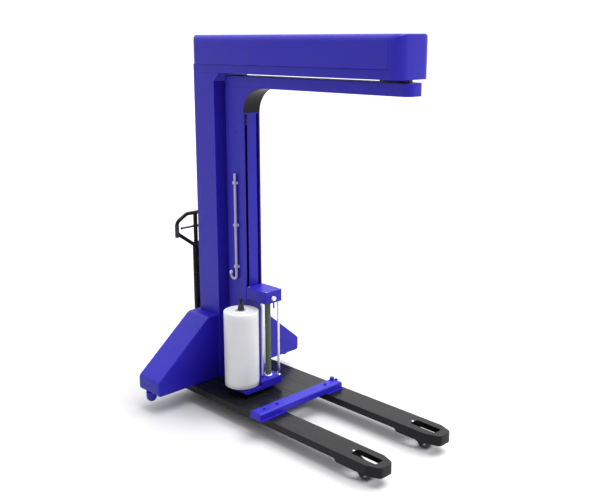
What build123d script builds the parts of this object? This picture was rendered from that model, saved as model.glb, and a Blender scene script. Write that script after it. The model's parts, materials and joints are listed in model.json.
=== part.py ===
from build123d import *
import os
from math import asin, cos, degrees, pi, sin

os.makedirs("parts", exist_ok=True)

# Mobile rotary-arm pallet wrapper: a blue column on a hand pallet truck carries a boom; under the
# boom's end a slewing shaft carries an L-shaped arm and mast, and a film carriage climbs the mast.
# Millimetres. +Z is up, the forks point to -Y. Every piece is laid out from the column's front face
# (y = 0) and moved on export, so that the origin is the bottom centre of the whole machine.

# ---- driving dimensions: truck ----
FORK_SPAN = 685.0          # over both forks
FORK_BLADE = 160.0         # one fork
FORK_TOP = 127.0           # fork face above the floor, lowered
FORK_PLATE = 6.0
FORK_SIDE = 5.0
FORK_FLANGE = 44.0         # depth of a fork's side
FORK_TOE_FLANGE = 62.0     # depth of the side beside the load roller
FORK_REACH = 1557.0        # column front to fork tips
TOE_LENGTH = 297.0         # stretch with the deeper side
NOSE_LENGTH = 88.0
NOSE_WIDTH = 96.0
ROLLER_WINDOW = (64.0, 178.0)
LOAD_ROLLER_R = 40.0
LOAD_ROLLER_W = 62.0
LOAD_ROLLER_REACH = 1416.0
LOAD_ARM = 150.0           # pivot to roller centre
LOAD_PIVOT_Z = 96.0
BAR_LEFT, BAR_RIGHT = -392.0, 322.0
BAR_BACK = -592.0
BAR_W, BAR_H = 112.0, 42.0
SADDLE_T = 5.0
BOLT_SPREAD = 52.0         # crossbar bolts, either side of a fork's middle
BOLT_R = 5.0
BAR_TUBE_W = 88.0
BAR_EDGE_R = 14.0
BAR_WALL = 4.0
BOLT_HEAD_R, BOLT_HEAD_H = 9.0, 7.0
LEVER_HALF, LEVER_H = 8.0, 22.0    # lever on a load arm's pivot
ROD_R = 6.0                # push rods
PLATFORM_FRONT = -556.0
STEER_WHEEL_R = 80.0
STEER_WHEEL_W = 40.0
STEER_TRACK_GAP = 66.0     # between the two steering wheels
STEER_TYRE = 28.0
AXLE_R = 10.0
RAM_R = 20.0
PUMP_R = 30.0
PUMP_LOW, PUMP_TOP = 60.0, 322.0
LUG_X, LUG_W = 30.0, 12.0  # pump's two lugs that hold the tiller
LIFT_STROKE = 80.0
SHELF_Z, SHELF_T = 372.0, 24.0
SHELF_R = 24.0
BULKHEAD_T = 12.0
BULKHEAD_LOW = 60.0
STEER_CLEAR = 6.7          # round the steering wheels as they turn
TILLER_OFFSET = 50.0       # steering axis back to the tiller tube
TILLER_PIN_R = 8.0
TILLER_TUBE_R = 24.0
TILLER_TOP = 1198.0
TILLER_PIVOT_Z = 250.0
LOOP_HALF_WIDTH = 157.0
LOOP_HEIGHT = 236.0
LOOP_TUBE_R = 13.0
LOOP_CORNER_R = 42.0
GRIP_LEVER_R = 7.0
GRIP_LEVER_REACH = 118.0

# ---- driving dimensions: cabinet, column and boom ----
CABINET_HALF = 618.0
CABINET_FRONT = 15.0       # behind the column's front face
CABINET_DEPTH = 210.0
CABINET_TOP = 566.0
CABINET_TOP_HALF = 205.0
CABINET_END_TOP = 222.0
CABINET_BENDS = (20.0, 32.0, 60.0)  # corner radii: bottom, outrigger end, top
SHEET = 3.0
FOOT_R = 34.0
FOOT_CLEAR = 60.0          # foot's underside above the floor
FOOT_INSET = 30.0
STUD_R, NUT_R = 6.0, 10.0
COLUMN_W = 249.0
COLUMN_D = 199.0
COLUMN_WALL = 4.0
GUSSET_LEG = 52.0
BOOM_BOTTOM = 2139.0
BOOM_H = 53.0
BOOM_WALL = 5.0
COVER_H = 176.0
COVER_OVERHANG = 12.0
COVER_EDGE_R = 40.0
COVER_NOSE_R = 70.0
BOOM_REACH = 1470.0
COVER_FLANGE = 18.0
NOSE_FLANGE = 2.0
COVER_BACK = 2.0           # cover past the column's back

# ---- driving dimensions: slewing drive ----
PIVOT_REACH = 1344.0
ROTOR_GAP = 16.0           # boom underside to the arm's top
HUB_R = 86.0
SLEW_SHAFT_R = 30.0
BEARING_R = 45.0
BEARING_H = 20.0
HOUSING_WALL = 7.0
HOUSING_H = 106.0
FLANGE_T = 6.0
HUB_PLATE_T = 8.0
SLIP_RING_R, SLIP_RING_H = 42.0, 44.0
BRUSH_GAP = 7.0            # brush post to the large gear's pitch circle
BRUSH_POST_T = 8.0
GEAR_MODULE = 3.0
SLEW_TEETH = 60
PINION_TEETH = 14
GEAR_H = 25.0
PINION_SHAFT_R = 9.0
MOTOR_R, MOTOR_LENGTH = 42.0, 190.0

# ---- driving dimensions: rotating arm and mast ----
ARM_W = 136.0
ARM_H = 68.0
ARM_WALL = 4.0
ARM_NOSE = 140.0           # past the slewing axis
ARM_NOSE_R = 50.0
MAST_D = 166.0
MAST_CLEAR = 43.0          # mast's back to the column's front
MAST_BOTTOM = 165.0
MAST_WALL = 3.0
MAST_LIP = 10.0
MAST_SLOT = 20.0
CORNER_R = 162.0
RAIL_R = 10.0
PULLEY_R = 25.0
PULLEY_GROOVES = 20
PULLEY_SHAFT_R = 8.0
BELT_W = 25.0
BELT_T = 3.0
CONDUIT_R = 9.0
CONDUIT_Y, CONDUIT_TOP, CONDUIT_LOW = -132.0, 1521.0, 858.0
HOOK_R = 26.0
GLAND_R = 11.5

# ---- driving dimensions: film carriage ----
CARRIAGE_DEPTH = 190.0     # mast front to the carriage's front
BASE_Z = 160.0
BASE_T = 20.0
BLOCK_T = 29.0
BOX_Z = 715.0
BOX_H = 77.0
CARRIAGE_TRAVEL = 1080.0
ROLL_R = 111.0
ROLL_GAP = 16.3            # film roll to the carriage frame's edge
PLATE_T = 7.0
ROLL_H = 490.0
CORE_R = 38.0
CORE_WALL = 8.0
SPINDLE_R = 12.0
HOLDER_R = 60.0
CONE_R, CONE_TOP_R, CONE_H = 22.0, 14.0, 45.0
SPINDLE_RISE = 72.0        # spindle past the roll's top
TROLLEY = (400.0, 640.0)
JOURNAL_R = 8.0
KNOB_X, KNOB_RISE = -13.0, 32.0
KNOB_R, KNOB_STEM_R = 14.0, 5.0
THREAD_PIN_X, THREAD_PIN_DROP = 8.0, 42.0
CHROME_ROLLER_R = 15.0
RUBBER_ROLLER_R = 20.0
PRESTRETCH_TEETH = (25, 39)
PRESTRETCH_MODULE = 1.25

# ---- driving dimensions: control box on the column's right side ----
CONTROL_Z, CONTROL_H, CONTROL_W, CONTROL_D = 1270.0, 360.0, 180.0, 110.0
CONTROL_WALL = 2.0
DOOR_T = 14.0
DOOR_RIM = 8.0
HINGE_R, HINGE_PIN_R = 5.0, 2.5
HINGE_HALF = 24.0          # half of a three-knuckle hinge
STEM_DEPTH = 8.0           # how far a button's stem reaches behind the door's face
BUTTON_R, STOP_R, SWITCH_R = 11.0, 16.0, 15.0
START_X, STOP_X, SWITCH_X = -46.0, 46.0, 0.0
BUTTONS_RISE = 110.0

RUN = 0.05                 # radial clearance of a turning fit
GAP = 0.5                  # clearance between pieces that pass each other

# ---- derived places ----
CABINET_BACK = CABINET_FRONT + CABINET_DEPTH
STEER_SWEEP = ((STEER_TRACK_GAP / 2 + STEER_WHEEL_W) ** 2 + STEER_WHEEL_R ** 2) ** 0.5
STEER_REACH = CABINET_BACK + STEER_SWEEP + STEER_CLEAR # column front back to the steering axis
ARCH_HALF, ARCH_TOP = STEER_SWEEP + STEER_CLEAR, 2 * STEER_WHEEL_R + 12
REAR_REACH = STEER_REACH + STEER_WHEEL_R
COLUMN_Y = (FORK_REACH - REAR_REACH) / 2
FORK_X = (FORK_SPAN - FORK_BLADE) / 2
PIVOT_Y = -PIVOT_REACH
COVER_BOTTOM = BOOM_BOTTOM + BOOM_H
ARM_TOP = BOOM_BOTTOM - ROTOR_GAP
ARM_BOTTOM = ARM_TOP - ARM_H
MAST_BACK = -MAST_CLEAR
MAST_FRONT = MAST_BACK - MAST_D
MAST_TOP = ARM_BOTTOM
CORNER_Z = ARM_BOTTOM - CORNER_R
STRIP_HALF = ARM_W / 2 - MAST_LIP - MAST_SLOT
BELT_Y = MAST_BACK - MAST_WALL - PULLEY_R - 34
RAIL_X = 44.0
RAIL_Y = MAST_FRONT + 50
CARRIAGE_FRONT = MAST_FRONT - CARRIAGE_DEPTH
CARRIAGE_BACK = MAST_FRONT - 4
ROLL_Y = MAST_FRONT - 75
ROLL_X = -ARM_W / 2 - ((ROLL_R + ROLL_GAP) ** 2 - (CARRIAGE_BACK - PLATE_T - ROLL_Y) ** 2) ** 0.5
ROLL_Z = BASE_Z + BASE_T + 8
BLOCK_TOP = BASE_Z + BASE_T + BLOCK_T
CHROME_X, RUBBER_X = -39.0, 1.0
ROLLER_Y = MAST_FRONT - 126
STEER_WHEEL_X = (STEER_TRACK_GAP + STEER_WHEEL_W) / 2
TILLER_Y = STEER_REACH + TILLER_OFFSET
bar_mid = BAR_BACK - BAR_W / 2
bar_low = FORK_TOP + SADDLE_T
bolt_x = [-FORK_X - BOLT_SPREAD, -FORK_X + BOLT_SPREAD, FORK_X - BOLT_SPREAD, FORK_X + BOLT_SPREAD]
ROD_Z = LOAD_PIVOT_Z + ROD_R + 6
KNOB_Z = BOX_Z + KNOB_RISE
FOOT_X, FOOT_Y = CABINET_HALF - FOOT_INSET, CABINET_FRONT + 125


# ---- helpers ----
def block(x0, x1, y0, y1, z0, z1):
    """A box between two corners."""
    low, high = Vector(x0, y0, z0), Vector(x1, y1, z1)
    return Pos(*((low + high) / 2)) * Box(*(high - low))


def rod(r, x, y, z0, z1):
    """An upright cylinder."""
    return Pos(x, y, (z0 + z1) / 2) * Cylinder(r, z1 - z0)


def rod_x(r, y, z, x0, x1):
    """A cylinder along X."""
    return Pos((x0 + x1) / 2, y, z) * Rot(0, 90, 0) * Cylinder(r, x1 - x0)


def rod_y(r, x, z, y0, y1):
    """A cylinder along Y."""
    return Pos(x, (y0 + y1) / 2, z) * Rot(90, 0, 0) * Cylinder(r, y1 - y0)


def prism_y(points, y0, y1, radii=None):
    """An outline in X and Z, given from corner to corner, swept from y0 to y1; radii round its corners."""
    outline = rounded(points, radii)
    return Pos(0, y1, 0) * extrude(Plane.XZ * outline, y1 - y0)


def prism_x(points, x0, x1, radii=None):
    """An outline in Y and Z swept from x0 to x1."""
    outline = rounded(points, radii)
    return Pos(x0, 0, 0) * extrude(Plane.YZ * outline, x1 - x0)


def prism_z(points, z0, z1, radii=None):
    """An outline in X and Y swept from z0 to z1."""
    outline = rounded(points, radii)
    return Pos(0, 0, z0) * extrude(outline, z1 - z0)


def rounded(points, radii=None):
    """A filled polygon whose corners are rounded one by one; a radius of 0 leaves a corner sharp."""
    face = make_face(Polyline(*points, close=True))
    for point, r in zip(points, radii or []):
        if r:
            corner = face.vertices().sort_by_distance((point[0], point[1], 0))[0]
            face = fillet(corner, r)
    return face


def tube_box(x0, x1, y0, y1, z0, z1, wall):
    """A rectangular tube along Z."""
    return block(x0, x1, y0, y1, z0, z1) - block(x0 + wall, x1 - wall, y0 + wall, y1 - wall, z0, z1)


def gear(teeth, module, height, bore_r):
    """A spur gear on the Z axis: straight-flanked teeth, thinner than half the pitch for backlash."""
    pitch_r = teeth * module / 2
    root_r, tip_r = pitch_r - 1.2 * module, pitch_r + 0.75 * module
    step = 2 * pi / teeth
    outline = []
    for i in range(teeth):
        for r, share in ((root_r, -0.33), (tip_r, -0.13), (tip_r, 0.13), (root_r, 0.33)):
            a = (i + share) * step
            outline.append((r * cos(a), r * sin(a)))
    wheel = extrude(make_face(Polyline(*outline, close=True)), height)
    return wheel - Pos(0, 0, height / 2) * Cylinder(bore_r, height)


def swept_tube(path, r):
    """A round bar along a path."""
    section = Plane(path @ 0, z_dir=path % 0) * Circle(r)
    return sweep(section, path=path)


def save(name, *solids):
    """Moves a piece to the machine's own frame and writes it; several solids make one group."""
    shape = solids[0] if len(solids) == 1 else Compound(children=[*solids])
    export_step(Pos(0, COLUMN_Y, 0) * shape, f"parts/{name}.step")


# ---- truck: forks, platform, crossbar, bulkhead ----
def fork(side):
    """One fork: an inverted channel with a deeper toe, a tapered nose and a window for the roller."""
    x0, x1 = side * FORK_X - FORK_BLADE / 2, side * FORK_X + FORK_BLADE / 2
    tip, back = -FORK_REACH, CABINET_BACK
    toe = tip + TOE_LENGTH
    cx = side * FORK_X
    plan = [(x0, back), (x0, tip + NOSE_LENGTH), (cx - NOSE_WIDTH / 2, tip), (cx + NOSE_WIDTH / 2, tip),
            (x1, tip + NOSE_LENGTH), (x1, back)]
    inner = [(x0 + FORK_SIDE, back), (x0 + FORK_SIDE, tip + NOSE_LENGTH + 2),
             (cx - NOSE_WIDTH / 2 + 2, tip + FORK_SIDE), (cx + NOSE_WIDTH / 2 - 2, tip + FORK_SIDE),
             (x1 - FORK_SIDE, tip + NOSE_LENGTH + 2), (x1 - FORK_SIDE, back)]
    low = FORK_TOP - FORK_TOE_FLANGE
    body = prism_z(plan, low, FORK_TOP, [0, 26, 26, 26, 26, 0])
    body -= prism_z(inner, low, FORK_TOP - FORK_PLATE, [0, 22, 22, 22, 22, 0])
    step = FORK_TOE_FLANGE - FORK_FLANGE
    body -= prism_x([(toe, low), (toe + step, low + step), (back, low + step), (back, low)],
                    x0, x1)
    width, length = ROLLER_WINDOW
    window = Pos(cx, -LOAD_ROLLER_REACH, FORK_TOP - FORK_PLATE / 2) * Box(width, length, FORK_PLATE)
    body -= fillet(window.edges().filter_by(Axis.Z), 12)
    pin_y = -LOAD_ROLLER_REACH + arm_run()
    for x in (x0 + FORK_SIDE / 2, x1 - FORK_SIDE / 2):
        body -= rod_x(10, pin_y, LOAD_PIVOT_Z, x - FORK_SIDE, x + FORK_SIDE)
    for x in (cx - BOLT_SPREAD, cx + BOLT_SPREAD):
        body -= rod(BOLT_R, x, bar_mid, FORK_TOP - FORK_PLATE, FORK_TOP)
    for y in (pin_y + 110, -360):
        guide = block(cx - 14, cx + 14, y - 8, y + 8, ROD_Z - 12, FORK_TOP - FORK_PLATE)
        body += guide - rod_y(ROD_R + RUN, cx, ROD_Z, y - 8, y + 8)
    joint_y = bar_mid - BAR_W / 2 - 14
    body -= block(x0, x1, joint_y - 1, joint_y + 1, FORK_TOP - 0.6, FORK_TOP)
    pin = rod_x(10, pin_y, LOAD_PIVOT_Z, x0, x1)
    return body, pin


def arm_run():
    """How far the load arm's pivot lies behind the roller, along Y, when the forks are down."""
    drop = LOAD_PIVOT_Z - LOAD_ROLLER_R
    return (LOAD_ARM ** 2 - drop ** 2) ** 0.5


def load_arm(side):
    """The arm that pushes a load roller down: two cheeks, a pivot boss and an upright lever."""
    cx = side * FORK_X
    pin_y, pin_z = -LOAD_ROLLER_REACH + arm_run(), LOAD_PIVOT_Z
    half = LOAD_ROLLER_W / 2 + 2
    arm = rod_x(16, pin_y, pin_z, cx - half - 8, cx + half + 8)
    direction = Vector(0, -arm_run(), LOAD_ROLLER_R - pin_z)
    tilt = degrees(asin(-direction.Z / LOAD_ARM))
    for x in (cx - half - 4, cx + half + 4):
        middle = Pos(x, pin_y - arm_run() / 2, (pin_z + LOAD_ROLLER_R) / 2)
        cheek = middle * Rot(tilt, 0, 0) * Box(8, LOAD_ARM, 30)
        arm += cheek + rod_x(15, -LOAD_ROLLER_REACH, LOAD_ROLLER_R, x - 4, x + 4)
    arm += block(cx - 6, cx + 6, pin_y - LEVER_HALF, pin_y + LEVER_HALF, pin_z, pin_z + LEVER_H)
    arm -= rod_x(10 + RUN, pin_y, pin_z, cx - 80, cx + 80)
    arm -= rod_x(8, -LOAD_ROLLER_REACH, LOAD_ROLLER_R, cx - 80, cx + 80)
    axle = rod_x(8, -LOAD_ROLLER_REACH, LOAD_ROLLER_R, cx - half - 8, cx + half + 8)
    return arm, axle


def load_roller(side):
    cx = side * FORK_X
    half = LOAD_ROLLER_W / 2
    roller = rod_x(LOAD_ROLLER_R, -LOAD_ROLLER_REACH, LOAD_ROLLER_R, cx - half, cx + half)
    roller = chamfer(roller.edges().filter_by(GeomType.CIRCLE), 3)
    return roller - rod_x(8 + RUN, -LOAD_ROLLER_REACH, LOAD_ROLLER_R, cx - half, cx + half)


for label, side in (("left", -1), ("right", 1)):
    save(f"fork_{label}", *fork(side))
    save(f"load_arm_{label}", *load_arm(side))
    save(f"load_roller_{label}", load_roller(side))

# The two push rods run under the fork tops from the bulkhead's bell cranks to just behind the arms.
rod_front = -LOAD_ROLLER_REACH + arm_run() + LEVER_HALF + 20
save("push_rods", *[rod_y(ROD_R, side * FORK_X, ROD_Z, rod_front, CABINET_FRONT) for side in (-1, 1)])

inside = FORK_X - FORK_BLADE / 2
platform = block(-inside, inside, PLATFORM_FRONT, CABINET_BACK, FORK_TOP - FORK_PLATE, FORK_TOP)
for y in (PLATFORM_FRONT + 6, -280, -20):
    platform += block(-inside, inside, y - 6, y + 6, FORK_TOP - FORK_FLANGE + 6, FORK_TOP - FORK_PLATE)
save("platform_plate", platform)



def bar_form(inset, z0):
    """The crossbar's outer or inner form: a long block whose top edges are rounded."""
    form = block(BAR_LEFT + inset, BAR_RIGHT - inset, bar_mid - BAR_TUBE_W / 2 + inset,
                 bar_mid + BAR_TUBE_W / 2 - inset, z0, bar_low + BAR_H - inset)
    return fillet(form.faces().sort_by(Axis.Z)[-1].edges(), BAR_EDGE_R - inset)


bar = bar_form(0, bar_low) - bar_form(BAR_WALL, bar_low)
saddles = [block(x0, x1, bar_mid - BAR_W / 2, bar_mid + BAR_W / 2, FORK_TOP, bar_low)
           for x0, x1 in ((BAR_LEFT, -FORK_X + FORK_BLADE / 2), (FORK_X - FORK_BLADE / 2, BAR_RIGHT))]
crossbar = bar + saddles[0] + saddles[1]
for x in bolt_x:
    crossbar -= rod(BOLT_R, x, bar_mid, FORK_TOP, bar_low + BAR_H)
knob = rod(15, BAR_RIGHT - 20, BAR_BACK - 30, bar_low + BAR_H - BAR_WALL, bar_low + BAR_H + 14)
crossbar += knob
save("crossbar", crossbar)
bolt_head = extrude(RegularPolygon(BOLT_HEAD_R, 6), BOLT_HEAD_H)
save("crossbar_bolts", *[rod(BOLT_R, x, bar_mid, FORK_TOP - FORK_PLATE, bar_low + BAR_H)
                         + Pos(x, bar_mid, bar_low + BAR_H) * bolt_head for x in bolt_x])

bulkhead_back = CABINET_BACK + BULKHEAD_T
outline = [(-FORK_SPAN / 2, BULKHEAD_LOW), (FORK_SPAN / 2, BULKHEAD_LOW), (FORK_SPAN / 2, 150),
           (120, SHELF_Z + 40), (-120, SHELF_Z + 40), (-FORK_SPAN / 2, 150)]
bulkhead = prism_y(outline, CABINET_BACK, bulkhead_back)
bulkhead -= block(-ARCH_HALF, ARCH_HALF, CABINET_BACK, bulkhead_back, BULKHEAD_LOW, ARCH_TOP)
shelf = block(-SHELF_R, SHELF_R, bulkhead_back, STEER_REACH, SHELF_Z, SHELF_Z + SHELF_T)
shelf += rod(SHELF_R, 0, STEER_REACH, SHELF_Z, SHELF_Z + SHELF_T)
for x in (-20, 20):
    rib = [(bulkhead_back, SHELF_Z - 70), (bulkhead_back + 60, SHELF_Z), (bulkhead_back, SHELF_Z)]
    shelf += prism_x(rib, x - 4, x + 4)
bulkhead += shelf
bulkhead -= rod(10 + RUN, 0, STEER_REACH, SHELF_Z, SHELF_Z + SHELF_T)
save("bulkhead", bulkhead)

# ---- truck: pump, steering wheels, tiller ----
ram = rod(RAM_R, 0, STEER_REACH, 118, SHELF_Z) + rod(10, 0, STEER_REACH, SHELF_Z, SHELF_Z + SHELF_T)
save("ram_rod", ram)

pump = rod(PUMP_R, 0, STEER_REACH, PUMP_LOW, PUMP_TOP)
pump += block(-PUMP_R, PUMP_R, STEER_REACH - PUMP_R, STEER_REACH + PUMP_R, PUMP_LOW, PUMP_LOW + 62)
valve = block(-PUMP_R + 4, PUMP_R - 4, STEER_REACH - 62, STEER_REACH, STEER_WHEEL_R * 2 + 10, 240)
pump += fillet(valve.edges().filter_by(Axis.Z), 6)
for x in (-LUG_X, LUG_X):
    pump += prism_x([(STEER_REACH, TILLER_PIVOT_Z - 30), (TILLER_Y, TILLER_PIVOT_Z - 16),
                     (TILLER_Y + 14, TILLER_PIVOT_Z), (TILLER_Y, TILLER_PIVOT_Z + 16),
                     (STEER_REACH, TILLER_PIVOT_Z + 30)], x - LUG_W / 2, x + LUG_W / 2)
pump -= rod(RAM_R + RUN, 0, STEER_REACH, 116, PUMP_TOP)
pump -= rod_x(AXLE_R, STEER_REACH, STEER_WHEEL_R, -60, 60)
pump -= rod_x(TILLER_PIN_R, TILLER_Y, TILLER_PIVOT_Z, -60, 60)
save("pump_body", pump)
wheel_out = STEER_WHEEL_X + STEER_WHEEL_W / 2
save("pump_pins", rod_x(AXLE_R, STEER_REACH, STEER_WHEEL_R, -wheel_out - 8, wheel_out + 8),
     rod_x(TILLER_PIN_R, TILLER_Y, TILLER_PIVOT_Z, -LUG_X - LUG_W, LUG_X + LUG_W))
for label, side in (("left", -1), ("right", 1)):
    x = side * STEER_WHEEL_X
    half = STEER_WHEEL_W / 2
    wheel = rod_x(STEER_WHEEL_R, STEER_REACH, STEER_WHEEL_R, x - half, x + half)
    wheel = fillet(wheel.edges().filter_by(GeomType.CIRCLE), 8)
    dish = sorted((x + side * 8, x + side * half))
    wheel -= rod_x(STEER_WHEEL_R - STEER_TYRE, STEER_REACH, STEER_WHEEL_R, *dish)
    wheel += rod_x(2.4 * AXLE_R, STEER_REACH, STEER_WHEEL_R, x - half + 2, x + half - 2)
    wheel -= rod_x(AXLE_R + RUN, STEER_REACH, STEER_WHEEL_R, x - half, x + half)
    save(f"steer_wheel_{label}", wheel)

loop_top = TILLER_TOP - LOOP_TUBE_R
loop_low = loop_top - LOOP_HEIGHT
loop_plane = Plane.XZ.offset(-TILLER_Y)
half = LOOP_HALF_WIDTH
loop_points = [(half, loop_top - 48), (half * 0.46, loop_top), (-half * 0.46, loop_top),
               (-half, loop_top - 48), (-half, loop_low + 112), (0, loop_low), (half, loop_low + 112)]
with BuildLine(loop_plane) as loop_line:
    FilletPolyline(*loop_points, radius=LOOP_CORNER_R, close=True)
loop = swept_tube(loop_line.wire(), LOOP_TUBE_R)
post_low = PUMP_TOP + 10
post = rod(TILLER_TUBE_R, 0, TILLER_Y, post_low, loop_low)
post += rod(TILLER_TUBE_R * 0.6, 0, TILLER_Y, loop_low, loop_top)
eye_half = LUG_X - LUG_W / 2 - GAP
fork_eye = rod_x(20 - GAP, TILLER_Y, TILLER_PIVOT_Z, -eye_half, eye_half)
fork_eye += block(-18, 18, TILLER_Y - 17, TILLER_Y + 17, TILLER_PIVOT_Z, post_low)
tiller = loop + post + fork_eye
lever_z = loop_low + 142
tiller -= rod(TILLER_TUBE_R, 0, TILLER_Y, lever_z - 16, lever_z + 16)
tiller += block(-6, 6, TILLER_Y - 7, TILLER_Y + 7, lever_z - 17, lever_z + 17)
tiller -= rod_x(TILLER_PIN_R + RUN, TILLER_Y, TILLER_PIVOT_Z, -LUG_X, LUG_X)
save("tiller", tiller)
lever = rod_x(GRIP_LEVER_R, TILLER_Y, lever_z, 9, GRIP_LEVER_REACH)
lever += rod_x(GRIP_LEVER_R, TILLER_Y, lever_z, -GRIP_LEVER_REACH, -9)
for x in (-GRIP_LEVER_REACH, GRIP_LEVER_REACH):
    lever += Pos(x, TILLER_Y, lever_z) * Sphere(GRIP_LEVER_R + 2)
ring = rod_x(15, TILLER_Y, lever_z, -12, -7) + rod_x(15, TILLER_Y, lever_z, 7, 12)
lever += ring + block(-12, 12, TILLER_Y + 10, TILLER_Y + 14, lever_z - 6, lever_z + 6)
save("release_lever", lever)

# ---- base cabinet, feet, column ----
outline = [(-CABINET_HALF, FORK_TOP), (CABINET_HALF, FORK_TOP), (CABINET_HALF, CABINET_END_TOP),
           (CABINET_TOP_HALF, CABINET_TOP), (-CABINET_TOP_HALF, CABINET_TOP),
           (-CABINET_HALF, CABINET_END_TOP)]
low_bend, end_bend, top_bend = CABINET_BENDS
bends = [low_bend, low_bend, end_bend, top_bend, top_bend, end_bend]
cabinet = prism_y(outline, CABINET_FRONT, CABINET_BACK, bends)
long_edges = cabinet.edges().filter_by(lambda e: abs(e.center().Y - CABINET_FRONT) < 0.1)
cabinet = fillet(long_edges, 7)
inner = [(-CABINET_HALF + SHEET, FORK_TOP + SHEET), (CABINET_HALF - SHEET, FORK_TOP + SHEET),
         (CABINET_HALF - SHEET, CABINET_END_TOP - 2), (CABINET_TOP_HALF - 2, CABINET_TOP - SHEET),
         (-CABINET_TOP_HALF + 2, CABINET_TOP - SHEET), (-CABINET_HALF + SHEET, CABINET_END_TOP - 2)]
cabinet -= prism_y(inner, CABINET_FRONT + 8, CABINET_BACK - SHEET, [bend - SHEET for bend in bends])
column_box = block(-COLUMN_W / 2, COLUMN_W / 2, 0, COLUMN_D, FORK_TOP, BOOM_BOTTOM)
for side in (-1, 1):
    cabinet -= rod(STUD_R, side * FOOT_X, FOOT_Y, FORK_TOP, FORK_TOP + SHEET)
save("base_cabinet", cabinet - column_box)
feet = []
for side in (-1, 1):
    dome = Pos(side * FOOT_X, FOOT_Y, FOOT_CLEAR + FOOT_R) * Sphere(FOOT_R)
    dome += rod(FOOT_R, side * FOOT_X, FOOT_Y, FOOT_CLEAR + FOOT_R, FORK_TOP)
    dome -= rod(FOOT_R + 1, side * FOOT_X, FOOT_Y, FORK_TOP, FORK_TOP + 2 * FOOT_R)
    nut = Pos(side * FOOT_X, FOOT_Y, FORK_TOP + SHEET) * extrude(RegularPolygon(NUT_R, 6), NUT_R)
    feet.append(dome + nut + rod(STUD_R, side * FOOT_X, FOOT_Y, FORK_TOP - 1, FORK_TOP + 30))
save("stabiliser_feet", *feet)

column = tube_box(-COLUMN_W / 2, COLUMN_W / 2, 0, COLUMN_D, FORK_TOP, BOOM_BOTTOM, COLUMN_WALL)


def gusset(leg, half_width):
    """The three-cornered web under the boom."""
    outline = [(0, BOOM_BOTTOM), (0, BOOM_BOTTOM - leg), (-leg, BOOM_BOTTOM)]
    return prism_x(outline, -half_width, half_width)


column += gusset(GUSSET_LEG, COLUMN_W / 2)
column -= gusset(GUSSET_LEG - 2.5 * COLUMN_WALL, COLUMN_W / 2 - COLUMN_WALL)
save("column", column)

# ---- boom, cover, slewing housing ----
boom_front = -BOOM_REACH + COVER_OVERHANG
boom_r = COVER_NOSE_R - COVER_OVERHANG
half_w = COLUMN_W / 2
plan = [(-half_w, COLUMN_D), (-half_w, boom_front), (half_w, boom_front), (half_w, COLUMN_D)]
boom = prism_z(plan, BOOM_BOTTOM, COVER_BOTTOM, [0, boom_r, boom_r, 0])
in_w, in_r = half_w - BOOM_WALL, boom_r - BOOM_WALL
plan = [(-in_w, COLUMN_D - BOOM_WALL), (-in_w, boom_front + BOOM_WALL), (in_w, boom_front + BOOM_WALL),
        (in_w, COLUMN_D - BOOM_WALL)]
boom -= prism_z(plan, BOOM_BOTTOM + BOOM_WALL, COVER_BOTTOM - BOOM_WALL, [0, in_r, in_r, 0])
boom -= rod(BEARING_R + HOUSING_WALL, 0, PIVOT_Y, BOOM_BOTTOM, COVER_BOTTOM)
gear_r = GEAR_MODULE * SLEW_TEETH / 2
pinion_r = GEAR_MODULE * PINION_TEETH / 2
PINION_Y = PIVOT_Y + gear_r + pinion_r
boom -= block(-50, 50, -200, 100, COVER_BOTTOM - BOOM_WALL, COVER_BOTTOM)
save("boom_frame", boom)

outer_w = half_w + COVER_OVERHANG
cover_back = COLUMN_D + COVER_BACK
cover_top = COVER_BOTTOM + COVER_H


def cover_body(inset, z0):
    """The cover's outer or inner form: flat sides, long rounded top edges, a round-cornered nose."""
    x, r = outer_w - inset, COVER_NOSE_R - inset
    edge = COVER_EDGE_R - inset
    side_view = prism_y([(-x, z0), (x, z0), (x, cover_top - inset), (-x, cover_top - inset)],
                        -BOOM_REACH + inset, cover_back - inset, [0, 0, edge, edge])
    plan = prism_z([(-x, cover_back - inset), (-x, -BOOM_REACH + inset), (x, -BOOM_REACH + inset),
                    (x, cover_back - inset)], z0, cover_top, [0, r, r, 0])
    return side_view & plan


cover = cover_body(0, COVER_BOTTOM) - cover_body(SHEET, COVER_BOTTOM + SHEET)
in_w, in_r = half_w - COVER_FLANGE, boom_r - COVER_FLANGE
cover -= prism_z([(-in_w, COLUMN_D - COVER_FLANGE), (-in_w, boom_front + NOSE_FLANGE),
                  (in_w, boom_front + NOSE_FLANGE), (in_w, COLUMN_D - COVER_FLANGE)],
                 COVER_BOTTOM, COVER_BOTTOM + SHEET, [0, in_r, in_r, 0])


def nose_cap(inset):
    """The cover's nose goes down round the boom's end: its outer or inner form."""
    x, r = outer_w - inset, COVER_NOSE_R - inset
    front, back = -BOOM_REACH + inset, -BOOM_REACH + COVER_NOSE_R + 2
    return prism_z([(-x, back), (-x, front), (x, front), (x, back)], BOOM_BOTTOM, COVER_BOTTOM, [0, r, r, 0])


cover += nose_cap(0) - nose_cap(SHEET)
save("boom_cover", cover)

housing_top = BOOM_BOTTOM + HOUSING_H
housing = rod(HUB_R, 0, PIVOT_Y, BOOM_BOTTOM - FLANGE_T, BOOM_BOTTOM)
housing += rod(BEARING_R + HOUSING_WALL, 0, PIVOT_Y, BOOM_BOTTOM, housing_top)
housing -= rod(BEARING_R, 0, PIVOT_Y, BOOM_BOTTOM - FLANGE_T, housing_top)
save("hub_housing", housing)
races = [rod(BEARING_R, 0, PIVOT_Y, z, z + BEARING_H) - rod(SLEW_SHAFT_R + RUN, 0, PIVOT_Y, z, z + BEARING_H)
         for z in (BOOM_BOTTOM, housing_top - BEARING_H)]
save("slewing_bearings", *races)

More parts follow.
